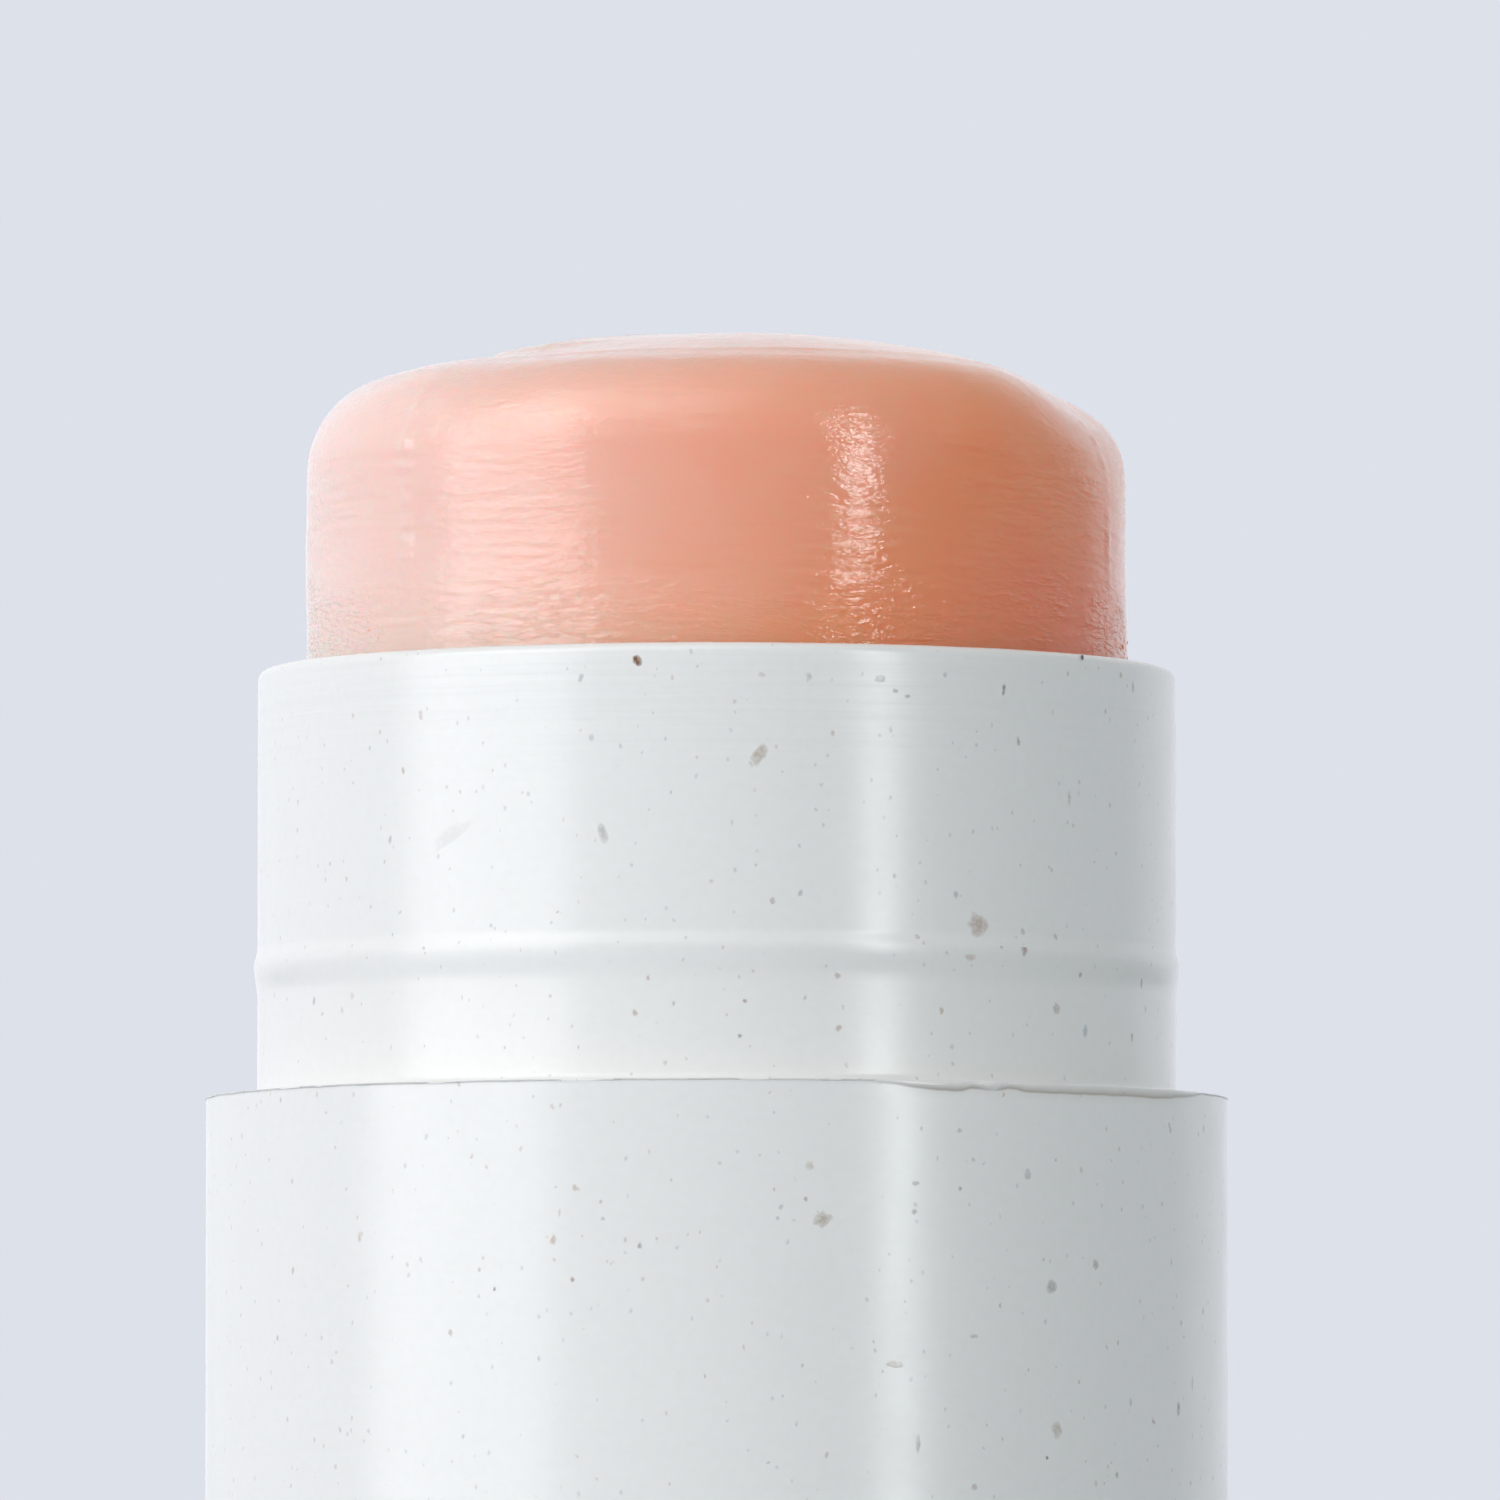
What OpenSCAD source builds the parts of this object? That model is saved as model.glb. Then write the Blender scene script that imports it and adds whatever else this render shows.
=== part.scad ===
// Twist-up lip balm stick with its cap off and the stick wound part of the way out.
// Millimetres, +Z up, origin at the centre of the foot that it stands on.

/* [Barrel] */
// Outside diameter of the barrel
barrel_d = 16; // [15.6:0.1:18]
// Height of the barrel from its lower edge to the ledge that the cap meets
barrel_h = 41.5; // [38:0.5:55]
// Thickness of the wall at the neck, outside the bore that the stick slides in
neck_wall = 0.65; // [0.55:0.05:0.8]
// Bevel on the barrel's lower outside edge
foot_bevel = 0.25; // [0.1:0.05:0.5]
// Height of the parting lip that the mould left on the edge of the ledge
lip_h = 0.06; // [0.03:0.01:0.12]
// Width of the parting lip
lip_w = 0.16; // [0.1:0.01:0.3]

/* [Neck] */
// Width of the ledge between the barrel's side and the neck that the cap grips
ledge_w = 0.8; // [0.7:0.05:1]
// Height of the neck above the ledge
neck_h = 6.7; // [6:0.1:9]
// Height of the cap bead's crest above the ledge
bead_up = 2.08; // [1.2:0.02:3.5]
// How far the cap bead stands out of the neck
bead_out = 0.08; // [0.04:0.01:0.15]
// Height of the cap bead's long lower flank
bead_low = 0.37; // [0.3:0.01:0.6]
// Height of the cap bead's short upper flank
bead_top = 0.25; // [0.2:0.01:0.5]
// Radius on the outside edge of the rim
rim_r = 0.2; // [0.1:0.02:0.3]
// Bevel on the inside edge of the rim
rim_bevel = 0.12; // [0.05:0.01:0.25]
// Radius in the corner where the neck meets the ledge
root_r = 0.15; // [0.05:0.01:0.3]

/* [Guide ribs] */
// Number of ribs in the bore that stop the carriage turning
rib_n = 3; // [2:1:4]
// Width of a rib
rib_w = 0.9; // [0.6:0.1:1.4]
// How far a rib stands into the bore
rib_in = 0.4; // [0.25:0.05:0.5]
// Direction of the first rib, in degrees from +X
rib_turn = 100; // [0:5:115]
// Distance from the rim down to the ribs' upper ends
rib_below_rim = 8.15; // [8:0.05:8.6]

/* [Stick] */
// Height of the stick's crown above the rim
balm_out = 5.3; // [4:0.05:8]
// Radius of the worn crown
crown_r = 20.5; // [12:0.5:30]
// Radius of the shoulder under the crown
shoulder_r = 1.45; // [0.8:0.05:2]
// Direction of the facet that use wore on the stick, in degrees from +X
wear_turn = -10; // [-180:5:180]
// Slope of the worn facet, in degrees
wear_slope = 24; // [15:1:40]
// Distance from the axis at which the facet leaves the crown
wear_at = 4.3; // [3.5:0.1:5]
// Clearance of the stick in the bore
balm_gap = 0.115; // [0.08:0.005:0.2]

/* [Screw] */
// Rise of the thread in one turn, left-handed
thread_lead = 3; // [2.6:0.1:3.2]
// Diameter over the thread's crests
thread_d = 4.2; // [3.8:0.1:4.6]
// Depth of the thread
thread_deep = 0.6; // [0.4:0.05:0.7]
// Width of the crest along the screw
crest_w = 0.7; // [0.5:0.05:0.9]
// Rise of each sloping flank along the screw
flank_w = 0.45; // [0.3:0.05:0.5]
// Distance from the rim down to the screw's tip
tip_below_rim = 5.75; // [5.5:0.05:7]
// Diameter of the collar that sits on the dial's hub
collar_d = 7; // [6.4:0.1:8]
// Thickness of the collar
collar_t = 0.8; // [0.6:0.1:1]
// Width across the flats of the hexagonal plug in the hub
plug_af = 4; // [3.6:0.1:4.4]
// Length of the hexagonal plug
plug_h = 4; // [3:0.1:5]

/* [Carriage] */
// Thickness of the carriage's floor
floor_t = 1.2; // [0.8:0.1:1.6]
// Height of the cup wall above the floor
cup_h = 3; // [2:0.1:4]
// Thickness of the cup wall
cup_t = 0.8; // [0.6:0.05:1]
// Outside diameter of the threaded boss
boss_d = 6.4; // [6.2:0.1:7]
// Height of the threaded boss above the floor
boss_h = 5; // [4.5:0.1:6]
// Number of fins that hold the stick
fin_n = 4; // [3:1:6]
// Thickness of a fin
fin_t = 0.8; // [0.6:0.05:1.2]
// Height of a fin at its outer end
fin_low = 2; // [1:0.1:2.6]
// Diameter of the drain holes in the floor
drain_d = 1.3; // [0.8:0.1:1.6]
// Clearance of the carriage in the bore and on the ribs
carriage_gap = 0.1; // [0.08:0.01:0.15]

/* [Dial] */
// Height of the dial's grip
dial_h = 6.4; // [5.5:0.1:9]
// How far the dial lies inside the barrel's side
dial_inset = 0.15; // [0.05:0.05:0.3]
// Number of ridges round the grip
ridge_n = 40; // [24:2:48]
// Radius of a ridge
ridge_r = 0.42; // [0.3:0.02:0.5]
// How far the ridges stand out of the grip
ridge_out = 0.28; // [0.15:0.01:0.3]
// How far the ridges stay under the plain band at the foot
ridge_under = 0.05; // [0.03:0.01:0.1]
// Height of the plain band under the ridges
band_h = 0.9; // [0.6:0.1:1.4]
// Thickness of the grip's outer wall, under the ridges
dial_t = 1.2; // [1:0.1:1.6]
// Thickness of the dial's floor
dial_floor = 1.3; // [1:0.1:1.6]
// Depth of the hollow under the foot
foot_in = 0.45; // [0.3:0.05:0.6]
// Width of the ring that the dial stands on
foot_w = 1.6; // [1.2:0.1:2.2]
// Diameter of the hub round the plug
hub_d = 7; // [6.6:0.1:8]
// Height of the spigot above the grip
spigot_h = 3.2; // [3:0.1:4]
// Thickness of the spigot's wall
spigot_t = 1; // [0.8:0.05:1.2]
// Clearance of the spigot in the bore
spigot_gap = 0.08; // [0.05:0.01:0.1]
// How far the snap ring stands out of the spigot
snap_out = 0.3; // [0.2:0.02:0.4]
// Height of the snap ring
snap_h = 0.8; // [0.6:0.05:1]
// Distance from the spigot's foot up to the snap ring
snap_up = 1.6; // [1.4:0.05:1.8]
// Number of slots that let the spigot flex as it snaps in
slot_n = 4; // [2:1:6]
// Width of a slot
slot_w = 0.9; // [0.6:0.1:1.2]

/* [Fits and travel] */
// Running gap between the dial and the barrel
foot_gap = 0.15; // [0.1:0.01:0.25]
// Clearance between the snap ring and its groove
snap_gap = 0.1; // [0.08:0.01:0.16]
// Clearance between the thread of the screw and that of the boss
thread_gap = 0.1; // [0.08:0.01:0.14]
// Clearance round pieces that are pressed or cast together
seat_gap = 0.04; // [0.02:0.01:0.08]
// Gap left under the carriage when it is wound right down
stop_gap = 0.4; // [0.3:0.05:0.8]
// Turns that the dial has made from the bottom to this pose
turns_up = 2.5; // [1:0.5:2.5]

/* [Hidden] */
$fn = 96;
arc_steps = 10;
ridge_points = 4;
thread_steps = 20;
eps = 0.01;

shell_colour = [0.89, 0.91, 0.9];
balm_colour = [0.93, 0.55, 0.42];
inner_colour = [0.93, 0.93, 0.9];

barrel_r = barrel_d / 2;
neck_r = barrel_r - ledge_w;
bore_r = neck_r - neck_wall;
barrel_z = dial_h + foot_gap;
ledge_z = barrel_z + barrel_h;
rim_z = ledge_z + neck_h;

spigot_r = bore_r - spigot_gap;
spigot_top = barrel_z + spigot_h;
snap_z = barrel_z + snap_up;

lift = turns_up * thread_lead;
carriage_low = spigot_top + stop_gap;
carriage_z = carriage_low + lift;
carriage_r = bore_r - carriage_gap;
cup_z = carriage_z + floor_t;
cup_r = carriage_r - cup_t;

rib_low = spigot_top + stop_gap / 2;
rib_top = rim_z - rib_below_rim;
rib_face = bore_r - rib_in;

crest_r = thread_d / 2;
thread_root = crest_r - thread_deep;
tip_z = rim_z - tip_below_rim;
thread_start = spigot_top + stop_gap;
thread_turns = floor((tip_z - 1 - thread_start - 2 * flank_w - crest_w) / thread_lead);
hub_z = spigot_top - collar_t;

balm_r = bore_r - balm_gap;
crown_z = rim_z + balm_out;
dial_r = barrel_r - dial_inset;
grip_r = dial_r - ridge_out;

// Points along an arc in the plane of a profile, from one angle to another
function arc(x, z, r, from, to, first = 0) =
    [for (i = [first : arc_steps]) let (a = from + (to - from) * i / arc_steps) [x + r * cos(a), z + r * sin(a)]];

// Points along one flank of a bead, between its root and its crest at the height z.
// The flank stands out by `out` over the height `h`, downwards where `h` is negative.
function flank(x, z, out, h, first = 0) =
    let (r = (out * out + h * h) / (2 * out), end = asin(h / r))
    h < 0 ? arc(x + out - r, z, r, end, 0, first) : arc(x + out - r, z, r, 0, end, first);

// A threaded rod, left-handed, as columns of points that climb the rod at each step of a turn.
// The ridge grows from the root at its first half turn and fades into it at its last.
function ridge_share(s, turns) = max(0, min(1, 2 * s, 2 * (turns - s)));
function rod_column(j, root, crest, z0, turns, grow, low, top, low_r, top_r) =
    let (a = -360 * j / thread_steps, u = [cos(a), sin(a)],
         along = [-grow, flank_w - grow, flank_w + crest_w + grow, 2 * flank_w + crest_w + grow],
         out = [0, 1, 1, 0])
    concat(
        [[low_r * u[0], low_r * u[1], low]],
        [for (k = [0 : turns - 1]) for (m = [0 : ridge_points - 1])
            let (s = k + j / thread_steps, r = root + out[m] * ridge_share(s, turns) * (crest - root))
            [r * u[0], r * u[1], z0 + s * thread_lead + along[m]]],
        [[top_r * u[0], top_r * u[1], top]]);

module threaded_rod(root, crest, z0, turns, grow, low, top, low_r, top_r) {
    n = thread_steps;
    lift_by = ridge_points;
    tall = ridge_points * turns + 2;
    points = [for (j = [0 : n - 1]) each rod_column(j, root, crest, z0, turns, grow, low, top, low_r, top_r)];
    side = [for (j = [0 : n - 2]) for (i = [0 : tall - 2])
        let (a = j * tall + i, b = a + tall) each [[a, b + 1, a + 1], [a, b, b + 1]]];
    // The last column meets the first one turn further up
    last = (n - 1) * tall;
    seam_low = [for (i = [0 : lift_by]) [last, i, i + 1]];
    seam_low_end = [[last, lift_by + 1, last + 1]];
    seam = [for (i = [1 : tall - lift_by - 3]) let (a = last + i, b = i + lift_by)
        each [[a, b + 1, a + 1], [a, b, b + 1]]];
    seam_top = [for (i = [tall - lift_by - 2 : tall - 2]) [tall - 2, last + i + 1, last + i]];
    seam_top_end = [[tall - 2, tall - 1, last + tall - 1]];
    ends = [[for (j = [n - 1 : -1 : 0]) j * tall], [for (j = [0 : n - 1]) j * tall + tall - 1]];
    polyhedron(points, concat(side, seam_low, seam_low_end, seam, seam_top, seam_top_end, ends), convexity = 10);
}

module ring_of(count, first = 0) {
    for (i = [0 : count - 1]) rotate(first + i * 360 / count) children();
}

// Outside and bore of the barrel, with the ledge, the neck and the groove for the dial's snap ring
module barrel_shell() {
    bore_low = snap_z - snap_gap;
    bore_high = snap_z + snap_h + snap_gap;
    groove_r = spigot_r + snap_out + snap_gap;
    rotate_extrude()
        polygon(concat(
            [[bore_r + foot_bevel, barrel_z], [barrel_r - foot_bevel, barrel_z], [barrel_r, barrel_z + foot_bevel],
             [barrel_r, ledge_z + lip_h / 2], [barrel_r - lip_w / 2, ledge_z + lip_h], [barrel_r - lip_w, ledge_z]],
            arc(neck_r + root_r, ledge_z + root_r, root_r, 270, 180),
            flank(neck_r, ledge_z + bead_up, bead_out, -bead_low),
            flank(neck_r, ledge_z + bead_up, bead_out, bead_top, 1),
            arc(neck_r - rim_r, rim_z - rim_r, rim_r, 0, 90),
            [[bore_r + rim_bevel, rim_z], [bore_r, rim_z - rim_bevel],
             [bore_r, bore_high + snap_out], [groove_r, bore_high], [groove_r, bore_low],
             [bore_r, bore_low], [bore_r, barrel_z + foot_bevel]]));
}

module guide_rib() {
    root = bore_r + eps * 10;
    translate([0, 0, rib_low])
        intersection() {
            translate([rib_face, -rib_w / 2, 0]) cube([root - rib_face, rib_w, rib_top - rib_low]);
            cylinder(r = root, h = rib_top - rib_low);
        }
}

module barrel() {
    color(shell_colour)
        union() {
            barrel_shell();
            ring_of(rib_n, rib_turn) guide_rib();
        }
}

// The stick as it was cast in the barrel: worn crown, stepped foot in the cup, grooves from the ribs
module balm_body() {
    centre_z = crown_z - crown_r + sqrt(pow(crown_r - shoulder_r, 2) - pow(balm_r - shoulder_r, 2));
    meet = atan2(centre_z - crown_z + crown_r, balm_r - shoulder_r);
    step_z = cup_z + cup_h + seat_gap;
    rotate_extrude()
        polygon(concat(
            [[0, cup_z], [cup_r - seat_gap, cup_z], [cup_r - seat_gap, step_z], [balm_r, step_z]],
            arc(balm_r - shoulder_r, centre_z, shoulder_r, 0, meet),
            arc(0, crown_z - crown_r, crown_r, meet, 90, 1)));
}

// Room above the facet that use wore on the crown
module wear_cut() {
    leave_z = crown_z - crown_r + sqrt(pow(crown_r, 2) - pow(wear_at, 2));
    rotate(wear_turn)
        translate([wear_at, -balm_r * 2, leave_z])
            rotate([0, wear_slope, 0])
                translate([-balm_r * 2, 0, 0]) cube(balm_r * 4);
}

module rib_groove() {
    top = rib_top + lift + stop_gap / 2;
    wide = rib_w + 2 * carriage_gap;
    translate([rib_face - carriage_gap, -wide / 2, cup_z - 1]) cube([rib_in + 1, wide, top - cup_z + 1]);
}

module balm() {
    color(balm_colour)
        difference() {
            balm_body();
            ring_of(rib_n, rib_turn) rib_groove();
            wear_cut();
            // Where it was cast round the boss, the fins and the screw
            translate([0, 0, cup_z - 1]) cylinder(d = boss_d + 2 * seat_gap, h = boss_h + seat_gap + 1);
            ring_of(fin_n, rib_turn + 180 / fin_n) fin(fin_t + 2 * seat_gap, seat_gap);
            translate([0, 0, cup_z]) cylinder(r = crest_r + balm_gap, h = tip_z + lift + stop_gap / 2 - cup_z);
        }
}

// A fin between the boss and the cup wall, grown by `more` where the stick was cast over it
module fin(thick, more) {
    translate([0, thick / 2, 0])
        rotate([90, 0, 0])
            linear_extrude(height = thick)
                polygon([[boss_d / 2 - 0.4, cup_z - eps], [cup_r + 0.2, cup_z - eps],
                         [cup_r + 0.2, cup_z + fin_low + more],
                         [boss_d / 2 - 0.4, cup_z + boss_h - 0.6 + more]]);
}

// Room for the screw through the boss, with the screw's own ridge and phase
module boss_thread() {
    ring = thread_lead;
    phase = thread_start + thread_lead * (ceil((carriage_z - thread_start) / thread_lead) - 3);
    turns = ceil((floor_t + boss_h) / thread_lead) + 5;
    threaded_rod(thread_root + thread_gap, crest_r + thread_gap, phase, turns, thread_gap / 2,
        phase - ring, phase + (turns + 1) * thread_lead + ring, thread_root + thread_gap, thread_root + thread_gap);
}

module rib_notch() {
    wide = rib_w + 2 * carriage_gap;
    translate([rib_face - carriage_gap, -wide / 2, carriage_z - 1]) cube([rib_in + 1, wide, floor_t + cup_h + 2]);
}

module drain_hole() {
    translate([(boss_d / 2 + cup_r) / 2, 0, carriage_z - 1]) cylinder(d = drain_d, h = floor_t + 2);
}

module carriage() {
    color(inner_colour)
        difference() {
            union() {
                rotate_extrude()
                    polygon([[0, carriage_z], [carriage_r, carriage_z], [carriage_r, cup_z + cup_h],
                             [cup_r + 0.3, cup_z + cup_h], [cup_r, cup_z + cup_h - 0.5], [cup_r, cup_z],
                             [boss_d / 2, cup_z], [boss_d / 2, cup_z + boss_h - 0.3],
                             [boss_d / 2 - 0.3, cup_z + boss_h], [0, cup_z + boss_h]]);
                ring_of(fin_n, rib_turn + 180 / fin_n) fin(fin_t, 0);
            }
            boss_thread();
            ring_of(rib_n, rib_turn) rib_notch();
            ring_of(fin_n, rib_turn) drain_hole();
        }
}

// The screw: hexagonal plug in the hub, collar on the hub, then the thread up to a bevelled tip
module lead_screw() {
    color(inner_colour)
        union() {
            threaded_rod(thread_root, crest_r, thread_start, thread_turns, 0,
                hub_z + collar_t / 2, tip_z, thread_root, thread_root * 0.6);
            translate([0, 0, hub_z]) cylinder(d = collar_d, h = collar_t);
            translate([0, 0, hub_z - plug_h]) cylinder(d = plug_af / cos(30), h = plug_h + collar_t / 2, $fn = 6);
        }
}

// The dial: fluted grip, foot ring, hub and the slotted spigot with its snap ring
module dial_shell() {
    inner_r = grip_r - dial_t;
    spigot_in = spigot_r - spigot_t;
    foot_r = dial_r - 0.3;
    rotate_extrude()
        polygon([[0, foot_in], [foot_r - foot_w, foot_in], [foot_r - foot_w + foot_in, 0], [foot_r, 0],
                 [dial_r, 0.3], [dial_r, band_h], [grip_r, band_h + ridge_out], [grip_r, dial_h - 0.2],
                 [grip_r - 0.2, dial_h], [spigot_r, dial_h], [spigot_r, snap_z], [spigot_r + snap_out, snap_z],
                 [spigot_r + snap_out, snap_z + snap_h / 3], [spigot_r, snap_z + snap_h],
                 [spigot_r, spigot_top - 0.2], [spigot_r - 0.2, spigot_top], [spigot_in, spigot_top],
                 [spigot_in, foot_in + dial_floor], [hub_d / 2, foot_in + dial_floor],
                 [hub_d / 2, hub_z], [0, hub_z]]);
}

module ridge() {
    low = band_h - 0.3;
    translate([dial_r - ridge_under - ridge_r, 0, low]) cylinder(r = ridge_r, h = dial_h - low - 0.25, $fn = 24);
}

module flex_slot() {
    translate([0, -slot_w / 2, dial_h + 0.3]) cube([barrel_r, slot_w, spigot_h + 1]);
}

module dial() {
    color(shell_colour)
        difference() {
            union() {
                dial_shell();
                ring_of(ridge_n) ridge();
                // Stub of the moulding gate in the hollow of the foot
                translate([0, 0, foot_in - 0.15]) cylinder(d = 1.2, h = 0.3);
            }
            difference() {
                ring_of(slot_n) flex_slot();
                cylinder(d = hub_d + 0.4, h = spigot_top + 1);
            }
            translate([0, 0, hub_z - plug_h - seat_gap])
                cylinder(d = (plug_af + 2 * seat_gap) / cos(30), h = plug_h + 1, $fn = 6);
        }
}

barrel();
balm();
carriage();
lead_screw();
dial();
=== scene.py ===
"""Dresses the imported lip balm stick: moulded shell, worn wax, small parts, floor, lights and camera."""

import math
import random

import bpy
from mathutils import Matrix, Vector, noise


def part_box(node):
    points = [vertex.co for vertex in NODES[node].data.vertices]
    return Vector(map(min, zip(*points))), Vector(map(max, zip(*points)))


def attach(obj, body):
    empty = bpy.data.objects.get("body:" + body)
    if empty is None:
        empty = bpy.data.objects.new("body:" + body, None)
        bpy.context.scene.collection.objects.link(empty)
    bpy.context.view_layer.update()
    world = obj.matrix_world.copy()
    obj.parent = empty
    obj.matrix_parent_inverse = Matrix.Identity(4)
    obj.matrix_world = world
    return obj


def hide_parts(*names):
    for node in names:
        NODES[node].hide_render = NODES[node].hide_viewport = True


bl_info = {
    "name": "Lip balm stick",
    "version": (1, 0, 0),
    "blender": (4, 5, 0),
    "location": "3D View > Sidebar > Lip balm",
    "description": "Builds the visible skin of a twist-up lip balm stick round its solid model",
    "category": "Object",
}

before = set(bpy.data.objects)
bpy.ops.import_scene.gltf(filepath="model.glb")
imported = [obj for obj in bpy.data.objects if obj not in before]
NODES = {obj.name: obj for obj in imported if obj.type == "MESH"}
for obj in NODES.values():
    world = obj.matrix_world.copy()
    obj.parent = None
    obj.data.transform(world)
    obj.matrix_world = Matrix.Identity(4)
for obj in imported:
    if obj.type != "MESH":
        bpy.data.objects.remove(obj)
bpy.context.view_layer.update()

MM = 0.001
COLUMNS = 360

# Heights and radii of the solid model, in millimetres
BARREL_LOW, BARREL_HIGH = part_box("barrel")
BALM_LOW, BALM_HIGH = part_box("balm")
RIM_Z = BARREL_HIGH.z / MM
BARREL_Z = BARREL_LOW.z / MM
BARREL_R = BARREL_HIGH.x / MM
BALM_R = BALM_HIGH.x / MM
CUP_Z = BALM_LOW.z / MM
NECK_H = 6.7
LEDGE_Z = RIM_Z - NECK_H
NECK_R = 7.2
BORE_R = 6.55
FOOT_ROUND = 0.25
NECK_FILLET = 0.15
RIM_ROUND = 0.16
RIM_EDGE = 0.12
SNAP_GROOVE_DEEP = 0.32
SNAP_GROOVE_UP = (1.5, 2.5, 2.8)
BEAD_LOW = 0.55
BEAD_TOP = 0.22
RIB_FACE_R = 6.15
RIB_TOP_Z = RIM_Z - 8.15
RIB_LOW_Z = BARREL_Z + 3.4
RIB_ANGLES = (-50.0, 70.0, 190.0)
RIB_HALF_ANGLE = 4.2
GROOVE_FACE_R = 6.05
GROOVE_TOP_Z = RIM_Z - 0.45
CUP_IN_R = 5.61
CUP_STEP_Z = CUP_Z + 3.04
BOSS_R = 3.24
BOSS_TOP_Z = CUP_Z + 5.04
SCREW_HOLE_R = 2.215
SCREW_HOLE_TOP_Z = RIM_Z + 1.95
# The crown's plain form stays this far under the crown's height, for the relief on it
CROWN_BELOW = 0.03


# ---------------------------------------------------------------- settings


class ShellSettings(bpy.types.PropertyGroup):
    """The moulded barrel and the dial's finish"""

    bead_out: bpy.props.FloatProperty(
        name="Bead height", description="How far the cap bead stands out of the neck",
        default=0.055 * MM, min=0.0, max=0.15 * MM, precision=6, unit="LENGTH")
    bead_up: bpy.props.FloatProperty(
        name="Bead position", description="Height of the bead's crest above the ledge",
        default=2.08 * MM, min=1.2 * MM, max=3.5 * MM, precision=5, unit="LENGTH")
    lip_height: bpy.props.FloatProperty(
        name="Lip height", description="Greatest height of the parting lip at the edge of the ledge",
        default=0.15 * MM, min=0.0, max=0.3 * MM, precision=6, unit="LENGTH")
    lip_out: bpy.props.FloatProperty(
        name="Lip reach", description="How far the parting lip stands out of the barrel's side",
        default=0.035 * MM, min=0.0, max=0.1 * MM, precision=6, unit="LENGTH")
    colour: bpy.props.FloatVectorProperty(
        name="Shell colour", description="Body colour of the speckled plastic",
        default=(0.862, 0.862, 0.848), size=3, min=0.0, max=1.0, subtype="COLOR")
    speck_colour: bpy.props.FloatVectorProperty(
        name="Speck colour", description="Colour of the brown fibres in the plastic",
        default=(0.36, 0.19, 0.10), size=3, min=0.0, max=1.0, subtype="COLOR")
    roughness: bpy.props.FloatProperty(
        name="Shell roughness", description="Gloss of the moulded skin",
        default=0.25, min=0.0, max=1.0, subtype="FACTOR")


class WaxSettings(bpy.types.PropertyGroup):
    """The worn stick of balm"""

    crown_out: bpy.props.FloatProperty(
        name="Crown height", description="Height of the crown above the rim",
        default=5.3 * MM, min=4 * MM, max=6 * MM, precision=5, unit="LENGTH")
    crown_radius: bpy.props.FloatProperty(
        name="Crown radius", description="Radius of the worn crown",
        default=20.5 * MM, min=12 * MM, max=30 * MM, precision=5, unit="LENGTH")
    shoulder_radius: bpy.props.FloatProperty(
        name="Shoulder radius", description="Radius between the crown and the side",
        default=1.45 * MM, min=0.8 * MM, max=2 * MM, precision=5, unit="LENGTH")
    trough: bpy.props.FloatProperty(
        name="Worn trough", description="Depth of the trough that wear left on the crown's left side",
        default=0.075 * MM, min=0.0, max=0.2 * MM, precision=6, unit="LENGTH")
    swipe: bpy.props.FloatProperty(
        name="Swipe depth", description="Depth of the level streaks that use left in the wax",
        default=0.006 * MM, min=0.0, max=0.05 * MM, precision=6, unit="LENGTH")
    colour: bpy.props.FloatVectorProperty(
        name="Wax colour", description="Body colour of the coral wax",
        default=(1.0, 0.315, 0.125), size=3, min=0.0, max=1.0, subtype="COLOR")
    # Painted light: the stick's wax mixes in this pale colour on its lit left and upper side; the smears and
    # crumbs use it for their cloudy tone.
    pale_colour: bpy.props.FloatVectorProperty(
        name="Bloom colour", description="Colour of the wax where use has left a pale skin on it",
        default=(1.0, 0.61, 0.54), size=3, min=0.0, max=1.0, subtype="COLOR")
    roughness: bpy.props.FloatProperty(
        name="Wax roughness", description="Gloss of the wax under its smeared skin",
        default=0.42, min=0.0, max=1.0, subtype="FACTOR")


class StageSettings(bpy.types.PropertyGroup):
    """Camera, lamps, floor and backdrop"""

    lens: bpy.props.FloatProperty(
        name="Lens", description="Focal length of the camera, in millimetres",
        default=389.2, min=50.0, max=800.0)
    camera_from: bpy.props.FloatVectorProperty(
        name="Camera position", description="Where the camera stands",
        default=(0.52 * MM, -254.0 * MM, 37.95 * MM), size=3, precision=5,
        subtype="TRANSLATION", unit="LENGTH")
    camera_to: bpy.props.FloatVectorProperty(
        name="Camera target", description="The point in the middle of the picture",
        default=(0.52 * MM, 0.0, 53.53 * MM), size=3, precision=5,
        subtype="TRANSLATION", unit="LENGTH")
    backdrop_colour: bpy.props.FloatVectorProperty(
        name="Backdrop colour", description="Colour behind the object",
        default=(0.723, 0.753, 0.823), size=3, min=0.0, max=1.0, subtype="COLOR")
    ambient: bpy.props.FloatProperty(
        name="Ambient light", description="Strength of the even light from all round",
        default=0.20, min=0.0, max=2.0)
    key_power: bpy.props.FloatProperty(
        name="Key lamp", description="Power of the tall box on the left, in watts",
        default=1.04, min=0.0, max=50.0)
    side_power: bpy.props.FloatProperty(
        name="Side lamp", description="Power of the dimmer box beside the key lamp, in watts",
        default=0.75, min=0.0, max=50.0)
    strip_power: bpy.props.FloatProperty(
        name="Strip lamp", description="Power of the narrow strip on the right, in watts",
        default=0.56, min=0.0, max=50.0)
    wall_power: bpy.props.FloatProperty(
        name="Wall lamp", description="Power of the wide box on the far left, in watts",
        default=0.42, min=0.0, max=50.0)
    back_power: bpy.props.FloatProperty(
        name="Back lamp", description="Power of the wide box behind, in watts",
        default=0.4, min=0.0, max=50.0)
    fill_power: bpy.props.FloatProperty(
        name="Fill lamp", description="Power of the soft box high on the left, in watts",
        default=0.62, min=0.0, max=50.0)


def settings():
    return bpy.context.scene.balm_stick


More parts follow.
